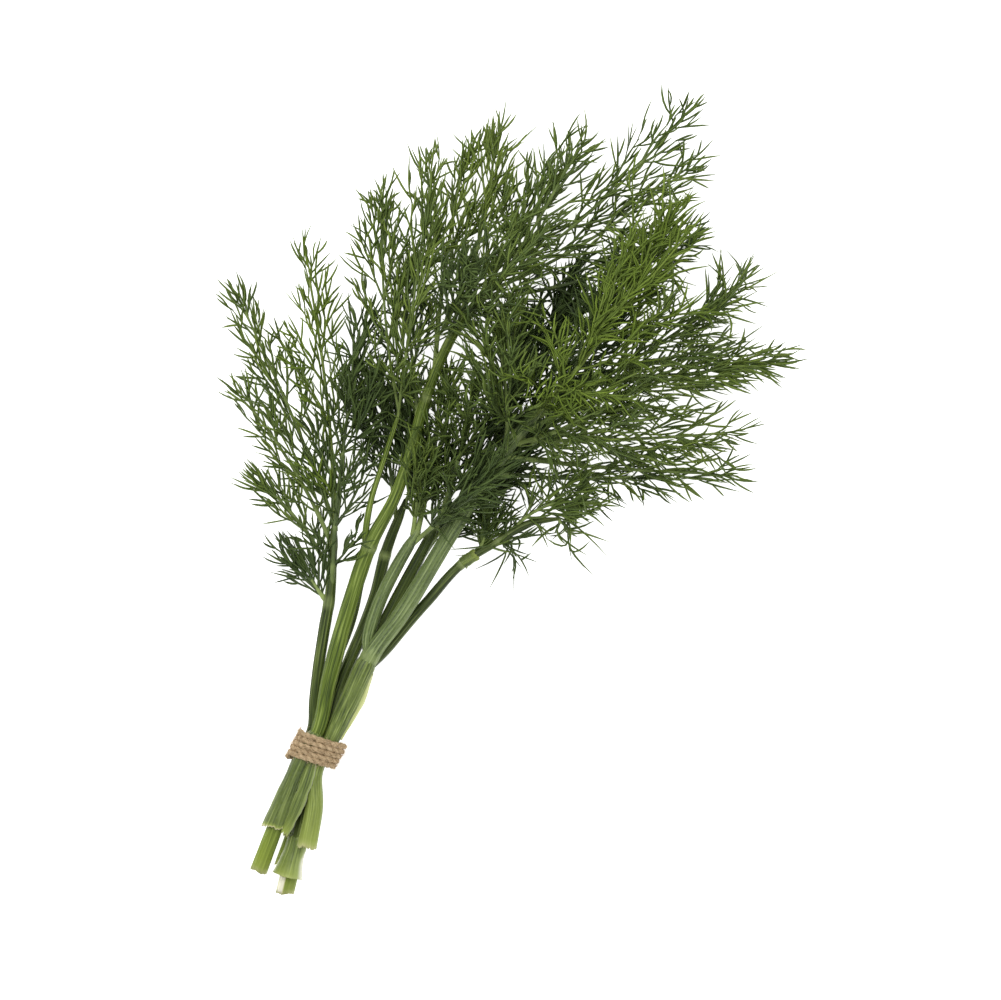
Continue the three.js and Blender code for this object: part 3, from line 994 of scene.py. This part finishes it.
@dataclass
class Frond(Piece):
    """A feathery leaf: a midrib with pairs of side ribs, which branch again into forked threads."""

    stalk: Stalk
    at: float
    side: int
    tip: tuple[float, float]
    half_width: float
    level: float
    bow: float
    tint: float = 0.0
    habit: Habit = OPEN
    mound: Mound = field(default_factory=Mound)
    rise: float = 0.018
    thread_width: float = 0.00100
    overhang: float = 0.016
    ceiling: float = 0.0445
    rest: float = 0.0003

    def skin(self) -> Skin:
        """Midrib, side ribs, twigs and forks, each family laid down as whole arrays."""
        rng = np.random.default_rng(SEED + self.seed * 7)
        midrib = self._midrib()
        skin = Skin()
        ribs, nodes = self._ribs(rng, midrib)
        self._lay_midrib(skin, midrib, nodes)
        twigs = self._twigs(rng, ribs)
        forks = self._forks(rng, twigs)
        self._lay(skin, rng, ribs, 9, 4, 0.36, 0.00105)
        self._lay(skin, rng, twigs, 6, 3, 0.8, self.thread_width)
        self._lay(skin, rng, forks, 5, 3, 1.0, self.thread_width)
        self._settle(skin)
        return skin

    def _ribs(self, rng: np.random.Generator, midrib: Line) -> tuple[Shoots, Array]:
        """Side ribs at nodes along the midrib: an opposite pair at each, and more that stand up from it.

        A rib's reach is half width * spread * (0.62 + 0.4 sin(1.3 pi u)) * sqrt(1 - 0.92 u^2), where u runs
        from the first node to the tip.

        Args:
            rng: Chance.
            midrib: The midrib's line.

        Returns:
            The ribs, and the shares of the midrib at which they leave it.
        """
        habit, length = self.habit, midrib.length
        first = min(0.0126, length * 0.3) / length
        pairs = max(4, round(length * (1.0 - first) / habit.pair_step))
        nodes = mix(first, 0.985, (np.arange(pairs) / (pairs - 1)) ** 0.95)
        u = np.repeat((nodes - first) / (1.0 - first), habit.ranks)
        rank = np.tile(np.arange(habit.ranks), pairs)
        reach = self.half_width * habit.spread * 0.001 * (0.62 + 0.4 * np.sin(1.3 * np.pi * u))
        reach = reach * np.sqrt(1.0 - 0.92 * u * u)
        shares = np.clip(np.repeat(nodes, habit.ranks) + rng.normal(0.0, 0.006, u.shape), 0.0, 0.99)
        lean = np.radians(mix(41.0, 18.0, u) + rng.normal(0.0, 5.0, u.shape))
        long = 0.72 * reach / np.sin(lean) * rng.uniform(0.75, 1.15, u.shape) + 0.003
        rise = rng.normal(0.0, habit.tilt, u.shape) + np.where(rank > 1, 0.95, 0.0)
        place, along, _, upper = midrib.frame(shares)
        roll = self.side * 0.1 + rng.normal(0.0, 0.2)
        upper = upper * math.cos(roll) + unit(np.cross(along, upper)) * math.sin(roll)
        hand = np.where(rank % 2 == 0, 1.0, -1.0)
        return sprout(rng, place, along, upper, hand, lean, long, rise, habit.curl * 0.6), nodes

    def _midrib(self) -> Line:
        """The midrib: bowed in plan, and rising or sinking from its stalk to its layer of the mound."""
        line = self.stalk.line
        root, along = line.place(self.at), line.along(self.at)
        right = unit(np.array([along[1], -along[0], 0.0]))
        stalk_radius = float(line.radius(self.at))
        off, clear = (right * self.side, stalk_radius * 0.4) if self.side else (along, -0.0005)
        base = root + off * clear
        tip = from_tie([*self.tip, 0.0])
        heading = unit(tip[:2] - base[:2])
        tip[:2] -= heading * self.overhang
        bowed = (base[:2] + tip[:2]) / 2 + np.array([heading[1], -heading[0]]) * self.bow * 0.001
        t = np.linspace(0.0, 1.0, 33)[:, None]
        plan = (1 - t) ** 2 * base[:2] + 2 * t * (1 - t) * bowed + t**2 * tip[:2]
        walked = walk(plan)
        settled = self.level * self.mound.height(plan[:, 0], plan[:, 1]) + 0.0012
        height = mix(base[2], settled, smooth(walked / self.rise))
        thick = stalk_radius * 0.6 if self.side == 0 else min(stalk_radius * 0.6, 0.0011)
        radius = mix(min(thick, 0.0014), 0.00042, (walked / walked[-1]) ** 0.6)
        return Line(np.column_stack([plan, height, radius]))

    def _lay_midrib(self, skin: Skin, midrib: Line, nodes: Array) -> None:
        """Adds the midrib, thicker and paler where side ribs leave it.

        Args:
            skin: Where it goes.
            midrib: Its line.
            nodes: The shares at which side ribs leave it.
        """
        t = np.linspace(0.0, 1.0, max(24, int(midrib.length / 0.0016)))
        near = np.abs(t[:, None] - nodes[None]).min(axis=1) * midrib.length / 0.0014
        knot = np.exp(-near * near)
        radius = midrib.radius(t) * (1.0 + 0.22 * knot)
        foot = np.exp(-((t * midrib.length / 0.011) ** 2))
        tones = tone(t.shape, 0.5 + self.tint, t, 0.0, 0.35 * knot + 0.5 * foot)
        line, width, depth = midrib.place(t)[None], 2.0 * radius[None], 1.8 * radius[None]
        strands(skin, line, WORLD_UP[None], width, depth, 8, tones[None])

    def _twigs(self, rng: np.random.Generator, ribs: Shoots) -> Shoots:
        """Twigs that leave each rib by turns on its two sides, every twig step, shorter towards its tip.

        Args:
            rng: Chance.
            ribs: The side ribs.

        Returns:
            The twigs.
        """
        most = 14
        count = np.clip(np.round(2.0 * ribs.length / self.habit.twig_step), 3, most)[:, None]
        order = np.arange(most)[None]
        hand = np.where(order % 2 == 0, 1.0, -1.0)
        t = 0.13 + 0.80 * order / np.maximum(count - 1, 1) + rng.normal(0.0, 0.02, (len(ribs.length), most))
        keep = (order < count) & (rng.random(t.shape) < 0.96)
        t = np.clip(t, 0.04, 0.94)
        place, along = ribs.place(t)[keep], ribs.along(t)[keep]
        normal = np.broadcast_to(ribs.normal[:, None], (*t.shape, 3))[keep]
        left = (ribs.length[:, None] * (1.0 - t))[keep]
        size = np.clip(left * 0.8, 0.0095, 0.0160) + rng.uniform(0.0, 0.0045, left.shape)
        lean = np.radians(mix(33.0, 19.0, t[keep]) + rng.normal(0.0, 5.0, left.shape))
        rise = rng.normal(0.0, self.habit.tilt, left.shape)
        hands = np.broadcast_to(hand, t.shape)[keep]
        return sprout(rng, place, along, normal, hands, lean, size * self.habit.thread, rise, self.habit.curl)

    def _forks(self, rng: np.random.Generator, twigs: Shoots) -> Shoots:
        """Threads that fork from each twig: two on a long one, one on a short one.

        Args:
            rng: Chance.
            twigs: The twigs.

        Returns:
            The threads.
        """
        count = len(twigs.length)
        t = np.tile([0.20, 0.42], (count, 1)) + rng.normal(0.0, 0.05, (count, 2))
        flip = rng.choice([-1.0, 1.0], count)[:, None]
        hand = np.tile([1.0, -1.0], (count, 1)) * flip
        keep = np.stack([twigs.length > 0.0058, twigs.length > 0.0105], axis=1)
        place, along = twigs.place(t)[keep], twigs.along(t)[keep]
        normal = np.broadcast_to(twigs.normal[:, None], (*t.shape, 3))[keep]
        size = (twigs.length[:, None] * (1.0 - t))[keep] * rng.uniform(0.85, 1.2, keep.sum())
        lean = np.radians(rng.normal(27.0, 6.0, keep.sum()))
        rise = rng.normal(0.0, self.habit.tilt, keep.sum())
        return sprout(rng, place, along, normal, hand[keep], lean, size, rise, self.habit.curl)

    def _lay(
        self, skin: Skin, rng: np.random.Generator, shoots: Shoots, rings: int, sides: int, order: float,
        width: float,
    ) -> None:
        """Adds a family of shoots as strands: slimmer at the foot, widest before the middle, and pointed.

        Args:
            skin: Where they go.
            rng: Chance.
            shoots: The family.
            rings: How many rings each strand has.
            sides: How many corners its section has.
            order: 0 for the midrib up to 1 for the last threads, as the finish reads it.
            width: The usual full width.
        """
        t = np.broadcast_to(np.linspace(0.0, 0.95, rings), (len(shoots.length), rings))
        foot, belly, fine = (1.0, 0.85, 0.5) if order < 0.5 else (0.75, 1.0, 0.2)
        shape = mix(foot, belly, smooth(t * 2.5)) * np.clip((1.03 - t) / 0.36, fine, 1.0)
        full = width * shape * rng.uniform(0.85, 1.15, len(shoots.length))[:, None]
        tint = np.clip(rng.beta(2.2, 2.2, len(shoots.length)) + self.tint, 0.0, 1.0)[:, None]
        tones = tone(t.shape, tint, t, order, 0.0)
        strands(skin, shoots.place(t), shoots.normal, full, full * 0.66, sides, tones)

    def _settle(self, skin: Skin) -> None:
        """Presses what would sink into the floor up onto it, and what stands too proud back to the mound.

        Args:
            skin: The frond, whose points are moved.
        """
        for points in skin.points:
            low = np.maximum(points[:, 2], self.rest + 0.25 * np.abs(points[:, 2] - self.rest))
            top = self.mound.height(points[:, 0], points[:, 1]) * 1.12 + 0.004
            low = np.where(low > top, top + 0.3 * (low - top), low)
            points[:, 2] = np.where(low > self.ceiling, self.ceiling + 0.3 * (low - self.ceiling), low)


# --------------------------------------------------------------------------------------------------
# The tie
# --------------------------------------------------------------------------------------------------


@dataclass
class Twine(Piece):
    """Turns of jute twine, two plies twisted round each other, with stray fibres and one frayed end."""

    bundle: float = 0.0071
    clearance: float = 0.0004
    diameter: float = 0.0019
    loft: float = 1.17
    turns: int = 5
    pitch: float = 0.00206
    ply_pitch: float = 0.0066
    steps_a_turn: int = 90
    sides: int = 9
    hairs: int = 1500
    tuft: int = 60
    lean: float = 0.23

    def _path(self, t: Array) -> tuple[Array, Array, Array]:
        """The twine's centre at shares t, with its outward and sideways directions.

        The line is a helix about +Y: radius * (cos a, 0, sin a) + pitch * turn, with a slow waver.
        """
        radius = self.bundle + self.clearance + self.diameter / 2
        centre = tie_middle() + WORLD_UP * (self.bundle + self.clearance + self.diameter)
        angle = np.pi + t * self.turns * 2.0 * np.pi
        out = np.stack([np.cos(angle), np.zeros_like(t), np.sin(angle)], axis=-1)
        waver = 0.00010 * wave(t * self.turns * 1.7, 5)
        offset = (t - 0.5) * self.turns * self.pitch + waver
        place = centre + out * (radius + 0.00012 * wave(t * 9.0, 9))[:, None]
        place[:, 1] += offset + self.lean * (place[:, 0] - centre[0])
        return place, out, np.broadcast_to([0.0, 1.0, 0.0], place.shape)

    def skin(self) -> Skin:
        """Each ply's line is centre + r * (out * cos(b) + sideways * sin(b)), b turning once a ply pitch."""
        skin = Skin()
        t = np.linspace(0.0, 1.0, self.turns * self.steps_a_turn)
        centre, out, aside = self._path(t)
        length = 2.0 * np.pi * (self.bundle + self.diameter) * self.turns
        ply = self.diameter * self.loft * 0.70
        for half in (0.0, np.pi):
            b = 2.0 * np.pi * t * length / self.ply_pitch + half
            turned = out * np.cos(b)[:, None] + aside * np.sin(b)[:, None]
            line = centre + turned * self.diameter * self.loft * 0.17
            width = ply * (1.0 + 0.07 * wave(t * 70.0, 3 + int(half)))
            # groove is painted shade: 0 where the ply faces out, 1 where it has turned in under the other
            # ply.
            groove = 0.5 - 0.5 * np.cos(b)
            tones = tone(t.shape, groove * 0.4, 0.5 + 0.4 * wave(t * 55.0, 11 + int(half)), 0.0, 1.0)
            strands(skin, line[None], out[None], width[None], width[None], self.sides, tones[None])
        self._hairs(skin)
        return skin

    def _hairs(self, skin: Skin) -> None:
        """Adds short stray fibres that lift off the twine, and a tuft at its frayed end.

        Args:
            skin: Where they go.
        """
        rng = np.random.default_rng(SEED)
        t = np.concatenate([rng.uniform(0.0, 1.0, self.hairs), rng.uniform(0.985, 1.0, self.tuft)])
        in_tuft = np.arange(len(t)) >= self.hairs
        place, out, aside = self._path(np.clip(t, 0.0, 1.0))
        onward = np.cross(out, aside)
        lift = rng.uniform(0.1, 0.5, len(t))[:, None]
        forward = onward * rng.choice([-1.0, 1.0], len(t))[:, None] + out * lift
        heading = unit(forward + aside * rng.normal(0, 0.7, (len(t), 1)))
        long = np.where(in_tuft, rng.uniform(0.0018, 0.0042, len(t)), rng.uniform(0.0010, 0.0030, len(t)))
        start = place + out * self.diameter * 0.45
        shoots = Shoots(start, heading, out, long, rng.normal(0.0, 0.25, (len(t), 3)) - out * 0.2)
        s = np.broadcast_to(np.linspace(0.0, 1.0, 5), (len(t), 5))
        width = 0.00013 * (1.0 - 0.6 * s)
        strands(skin, shoots.place(s), out, width, width, 3, tone(s.shape, 0.0, 0.9, 0.0, 1.0))


# --------------------------------------------------------------------------------------------------
# The bunch
# --------------------------------------------------------------------------------------------------


def make_stalks() -> dict[str, Stalk]:
    """The stalks by node, each with its path [x, y, height, radius] from the cut end to the last node."""
    stalks = [
        Stalk("stalk_left_front", Finish.BRIGHT, [
            [2, -50.5, 7.2, 3.2], [-1, -26, 10, 2.9], [-2.8, -7, 12.7, 2.6], [-3.0, 7, 12.9, 2.6],
            [-8, 25, 13.5, 3.0], [-15, 56, 14.5, 2.9], [-18.5, 79, 16, 2.7], [-18.5, 97, 17, 2.2],
            [-21, 115, 18, 2.1], [-26, 138, 19, 2], [-26.5, 173, 21, 1.6], [-20.5, 191, 21, 1.2],
        ], nodes=(0.53, 0.775), cut=True),
        Stalk("stalk_left_back", Finish.DEEP, [
            [-1.5, -32, 4, 2.1], [-3.8, -15, 6.6, 2.1], [-4.9, -5, 8.5, 1.9], [-5.2, 6, 8.5, 1.9],
            [-9.5, 16, 9, 2], [-19, 42, 9, 2.2], [-23, 54, 8.5, 2], [-28.5, 66, 8, 1.8],
            [-34.5, 79, 7.5, 1.5],
        ], nodes=(0.74, 0.93), cut=True),
        Stalk("petiole_left", Finish.BRIGHT, [
            [-19.2, 75, 15.6, 0.9], [-22.0, 81, 15.4, 1.2], [-26, 93, 15.5, 1.1], [-28.5, 107, 16, 1],
            [-32, 127, 17, 0.9],
        ], nodes=(0.98,), ribs=7),
        Stalk("stalk_right_front", Finish.BLOOMED, [
            [14.5, -33.5, 12.3, 2.9], [9.3, -18, 12.2, 2.7], [4.0, -7.5, 12.3, 2.3], [3.2, 6, 12.4, 2.3],
            [2.2, 22, 13.6, 3.0], [1.2, 41, 15, 3.2], [4, 60, 15.5, 3.1], [5.5, 82, 16, 3],
            [6.5, 102, 16.5, 2.9],
            [8.5, 123, 17, 2.5], [12, 143, 18, 2.2], [15, 153, 19, 1.9],
        ], nodes=(0.405, 0.93), cut=True, ribs=14),
        Stalk("stalk_right_fork", Finish.BLOOMED, [
            [0.2, 40.5, 14.4, 1.6], [-2.6, 46.5, 13.6, 2.3], [-5.0, 58, 14, 2.4], [-5.8, 74, 15.5, 2.2],
            [-5, 91, 16.5, 2],
        ], nodes=(0.985,), ribs=12),
        Stalk("stalk_far_right", Finish.DEEP, [
            [2.8, 36.5, 12.4, 1.5], [5.2, 45.5, 10.8, 1.9], [7.6, 57, 9.8, 2.0], [10.5, 69, 9.6, 1.9],
            [15.5, 88, 10, 1.7],
            [22.5, 100, 10.5, 1.4], [30.5, 113, 11, 1.3], [40, 120, 11, 1.1],
        ], nodes=(0.56, 0.74), ribs=9),
        Stalk("stalk_middle", Finish.DEEP, [
            [7.8, -45.5, 2.4, 1.7], [4.2, -20, 3, 1.9], [0.9, -2, 4.3, 1.8], [1.1, 12, 4.4, 1.9],
            [1, 26, 5.6, 2], [0, 47, 8.6, 2.2], [0, 62, 9.4, 2.3], [0, 80, 10.6, 2.2], [0, 98, 11.5, 1.8],
        ], nodes=(0.985,), cut=True),
        Stalk("stalk_dark", Finish.DEEP, [
            [14.8, -54.3, 4.4, 3.3], [8.3, -29, 6.6, 2.9], [0.0, -2, 8.2, 2.0], [-0.5, 6, 8.3, 2.0],
            [-3.9, 24.5, 6.8, 2.1], [-6, 49, 5.6, 2.3], [-8, 62, 7, 2.2], [-12, 78, 8.8, 2],
            [-14.5, 99, 10, 1.5],
        ], nodes=(0.855,), cut=True, slant=(0.7, 20.0), peeled=0.014),
        Stalk("stalk_thin", Finish.DEEP, [
            [5, -34, 9.6, 1], [0.8, -17, 6.8, 1], [-3, -2, 5, 1], [-3.4, 8, 4.9, 1], [-7.4, 26, 7.2, 0.9],
            [-10.6, 50, 10, 0.8], [-13.8, 63, 11, 0.7],
        ], cut=True, ribs=6),
    ]
    return {stalk.node: stalk for stalk in stalks}


def make_sheaths(stalks: dict[str, Stalk]) -> list[Piece]:
    """The sheaths that wrap the stalks, and the strips that have come away from them.

    Args:
        stalks: The stalks by node.

    Returns:
        The sheaths and strips.
    """
    return [
        Channel("sheath_left", Finish.SHEATH, stalks["stalk_left_front"], 0.235, 0.075, 1.3, (-70, 60),
                slant=1.4, browned=0.7, ripe=0.04, light=0.72),
        Channel("sheath_right", Finish.SHEATH, stalks["stalk_right_front"], 0.402, 0.0, 0.6, (-128, 60),
                browned=0.2),
        Channel("sheath_cup", Finish.SHEATH, stalks["stalk_dark"], 0.15, 0.05, 2.4, (-112, 75), 0.3,
                browned=0.0, ripe=0.42, margin=2.2, white=0.45, ribs=8),
        Channel("sheath_node", Finish.SHEATH, stalks["stalk_far_right"], 0.56, 0.63, 0.25, (-90, 80), 0.8,
                browned=0.0, thickness=0.0003),
        Strip("sheath_middle", Finish.SHEATH, [
            [0.4, -2, 15.4], [2.4, -13, 15.0], [3.6, -23, 14.2], [4.0, -33, 12.6],
        ], 2.5, -14),
        Strip("sheath_membrane", Finish.MEMBRANE, [
            [5.9, 8, 12.6], [6.2, 16, 12.8], [6.5, 24, 13.4], [4.8, 35, 14.6],
        ], 1.3, -50),
    ]


def make_fronds(stalks: dict[str, Stalk]) -> list[Frond]:
    """The fronds, group by group: finish, stalk, share along it, side, tip, half width, level, bow, tint.

    Args:
        stalks: The stalks by node.

    Returns:
        The fronds, in the order in which they are built.
    """
    back, front, small = stalks["stalk_left_back"], stalks["stalk_left_front"], stalks["petiole_left"]
    right, fork, far = stalks["stalk_right_front"], stalks["stalk_right_fork"], stalks["stalk_far_right"]
    middle, dark = stalks["stalk_middle"], stalks["stalk_dark"]
    habits = {"top": FULL, "tip": AIRY, "crown": CURLED, "right": FULL, "under": CROWDED}
    special = {
        "frond_left_6": FULL, "frond_right_3": OPEN, "frond_right_4": OPEN, "frond_crown_7": CROWDED,
        "frond_crown_3": CROWDED, "frond_low_3": SPARSE, "frond_low_1": SPARSE,
    }
    groups = {
        "left": [
            (Finish.DARK, back, 0.74, -1, (-46, 63), 8, 0.3, 0, -0.05),
            (Finish.GREEN, back, 0.84, -1, (-73, 84), 9, 0, 3, 0.05),
            (Finish.GREEN, back, 0.93, -1, (-95, 110), 12, 0.2, 4, 0.1),
            (Finish.GREEN, back, 1, 0, (-114, 143), 15, 0, 2, 0.1),
            (Finish.FRESH, back, 0.97, 1, (-94, 168), 13, 0.42, 4, -0.05),
            (Finish.DARK, back, 0.75, 1, (-63, 158), 19, 0.5, -4, 0.15),
        ],
        "top": [
            (Finish.GREEN, small, 1, 0, (-80, 201), 16, 0.67, -4, 0.2),
            (Finish.GREEN, small, 0.93, 1, (-67, 222), 15, 0.82, 0, 0.25),
            (Finish.GREEN, front, 0.82, -1, (-59, 232), 16, 0.36, -3, 0.35),
            (Finish.DARK, front, 0.74, -1, (-60, 180), 15, 0, 0, 0.25),
            (Finish.GREEN, front, 0.9, -1, (-50, 243), 16, 0.5, 2, 0.35),
            (Finish.GREEN, front, 0.93, -1, (-26, 242), 17, 0.2, 4, 0.25),
        ],
        "tip": [
            (Finish.GREEN, front, 1, 0, (14, 285), 16, 0.45, 6, 0.0),
            (Finish.GREEN, front, 0.99, -1, (-19, 254), 12, 0.62, 2, 0.1),
            (Finish.GREEN, front, 0.97, 1, (27, 269), 14, 0.34, 6, 0.05),
            (Finish.DARK, front, 0.95, 1, (43, 243), 16, 0.22, 6, 0.1),
        ],
        "crown": [
            (Finish.FRESH, right, 0.96, -1, (25, 246), 24, 1, 9, 0.0),
            (Finish.GREEN, right, 0.985, 1, (61, 230), 17, 0.72, 2, 0.0),
            (Finish.GREEN, right, 0.9, -1, (-16, 176), 16, 0.8, 2, 0.0),
            (Finish.GREEN, right, 0.91, 1, (46, 174), 16, 0.9, 2, 0.05),
            (Finish.DARK, right, 1, 0, (22, 205), 18, 0.6, 2, 0.0),
            (Finish.GREEN, middle, 1, 0, (-13, 158), 14, 0.45, 2, -0.1),
            (Finish.DARK, fork, 0.9, 1, (9, 132), 11, 0.86, 2, 0.1),
            (Finish.GREEN, fork, 0.95, -1, (-19, 124), 8, 0.7, 0, 0.0),
            (Finish.GREEN, fork, 1, 0, (-27, 158), 14, 0.34, 2, 0.0),
            (Finish.DARK, front, 0.86, -1, (-37, 196), 15, 0.96, 2, 0.1),
            (Finish.GREEN, front, 0.88, 1, (-18, 216), 18, 0.86, 2, 0.0),
        ],
        "right": [
            (Finish.GREEN, right, 0.95, 1, (88, 217), 18, 0.47, -6, 0.28),
            (Finish.GREEN, right, 0.92, 1, (91, 184), 13, 0.32, 2, 0.23),
            (Finish.GREEN, right, 0.88, 1, (97, 168), 14, 0.16, 2, 0.13),
            (Finish.DARK, right, 0.84, 1, (71, 153), 12, 0, 2, 0.18),
        ],
        "low": [
            (Finish.GREEN, far, 1, 0, (58, 122), 8, 0.1, 2, 0.0),
            (Finish.GREEN, far, 0.8, -1, (47, 140), 11, 0.55, -4, 0.0),
            (Finish.DARK, far, 0.74, 1, (36, 91), 5, 0, 2, 0.0),
            (Finish.GREEN, far, 0.65, -1, (16, 116), 6, 0.3, 0, -0.1),
        ],
        # The under fronds all take the darker finish, whose colours paint the shade that falls under the
        # fronds above them.
        "under": [
            (Finish.DARK, dark, 1, 0, (-21, 122), 11, 0.25, 2, -0.1),
            (Finish.DARK, dark, 0.95, -1, (-48, 138), 15, 0.1, 0, 0.0),
            (Finish.DARK, middle, 0.94, 1, (16, 150), 10, 0.08, 2, -0.1),
            (Finish.DARK, middle, 0.87, 1, (6, 207), 20, 0, 2, -0.1),
        ],
    }
    fronds = []
    for group, rows in groups.items():
        for number, (finish, *place) in enumerate(rows, start=1):
            node = f"frond_{group}_{number}"
            fronds.append(Frond(node, finish, *place, special.get(node, habits.get(group, OPEN))))
    return fronds


@dataclass
class Studio:
    """A pale floor, a soft light overhead, a weak one from the side, and a camera looking straight down."""

    floor_size: float = 6.0
    view_width: float = 0.3754
    lens: float = 0.180
    film: float = 0.036
    turn: float = 28.0
    look_at: tuple[float, float] = (16.9, 115.6)
    focus_height: float = 0.015
    floor_colour: Colour = (0.86, 0.86, 0.86)
    floor_glow: float = 1.05
    sky_strength: float = 0.55

    def floor(self) -> None:
        """Lays the floor just under the bunch."""
        half = self.floor_size / 2
        corners = np.array([[-half, -half, 0], [half, -half, 0], [half, half, 0], [-half, half, 0]], float)
        skin = Skin()
        skin.add(corners - WORLD_UP * 0.0001, np.ones((4, 4)), np.array([[0, 1, 2, 3]]))
        finish = FloorFinish("pale_floor", self.floor_colour, self.floor_glow)
        skin.piece("floor", finish.material())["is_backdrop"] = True

    def light(self, name: str, place: Colour, size: float, power: float) -> None:
        """Hangs a square soft box, aimed at the bunch.

        Args:
            name: The light's name.
            place: Where it hangs.
            size: Its side.
            power: Its power in watts.
        """
        lamp = bpy.data.lights.new(name, "AREA")
        lamp.size = size
        lamp.energy = power
        box = bpy.data.objects.new(name, lamp)
        box.location = place
        away = np.array(place)
        box.rotation_euler = (
            math.atan2(math.hypot(away[0], away[1]), away[2]), 0.0, math.atan2(away[0], -away[1]),
        )
        bpy.context.scene.collection.objects.link(box)

    def camera(self) -> None:
        """Sets the camera straight above the bunch, turned so that the bunch leans to the right."""
        data = bpy.data.cameras.new("camera")
        data.lens, data.sensor_width = self.lens * 1000.0, self.film * 1000.0
        camera = bpy.data.objects.new("camera", data)
        target = from_tie([*self.look_at, 0.0])
        height = self.view_width * self.lens / self.film + self.focus_height
        camera.location = (target[0], target[1], height)
        camera.rotation_euler = (0.0, 0.0, math.radians(self.turn))
        bpy.context.scene.collection.objects.link(camera)
        bpy.context.scene.camera = camera

    def build(self) -> None:
        """Floor, lights, sky and camera."""
        self.floor()
        self.light("soft_box", (-0.55, 0.35, 1.3), 0.9, 13.0)
        self.light("fill_box", (1.1, -0.5, 0.9), 1.0, 3.0)
        world = bpy.data.worlds.new("studio")
        world.use_nodes = True
        sky = world.node_tree.nodes["Background"]
        sky.inputs["Color"].default_value = (1.0, 1.0, 1.0, 1.0)
        sky.inputs["Strength"].default_value = self.sky_strength
        bpy.context.scene.world = world
        bpy.context.scene.view_settings.view_transform = "Standard"
        self.camera()


def main(cad_box: list[list[float]]) -> None:
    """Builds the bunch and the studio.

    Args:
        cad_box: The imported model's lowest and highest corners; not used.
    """
    stalks = make_stalks()
    pieces = [*stalks.values(), *make_sheaths(stalks), *make_fronds(stalks), Twine("jute_twine", Finish.JUTE)]
    total = sum(piece.make() for piece in pieces)
    Studio().build()
    log.info("%d pieces, %d triangles", len(pieces), total)


if __name__ == "__main__":
    logging.basicConfig(level=logging.INFO, format="%(message)s")
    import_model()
    main([list(corner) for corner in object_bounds()])
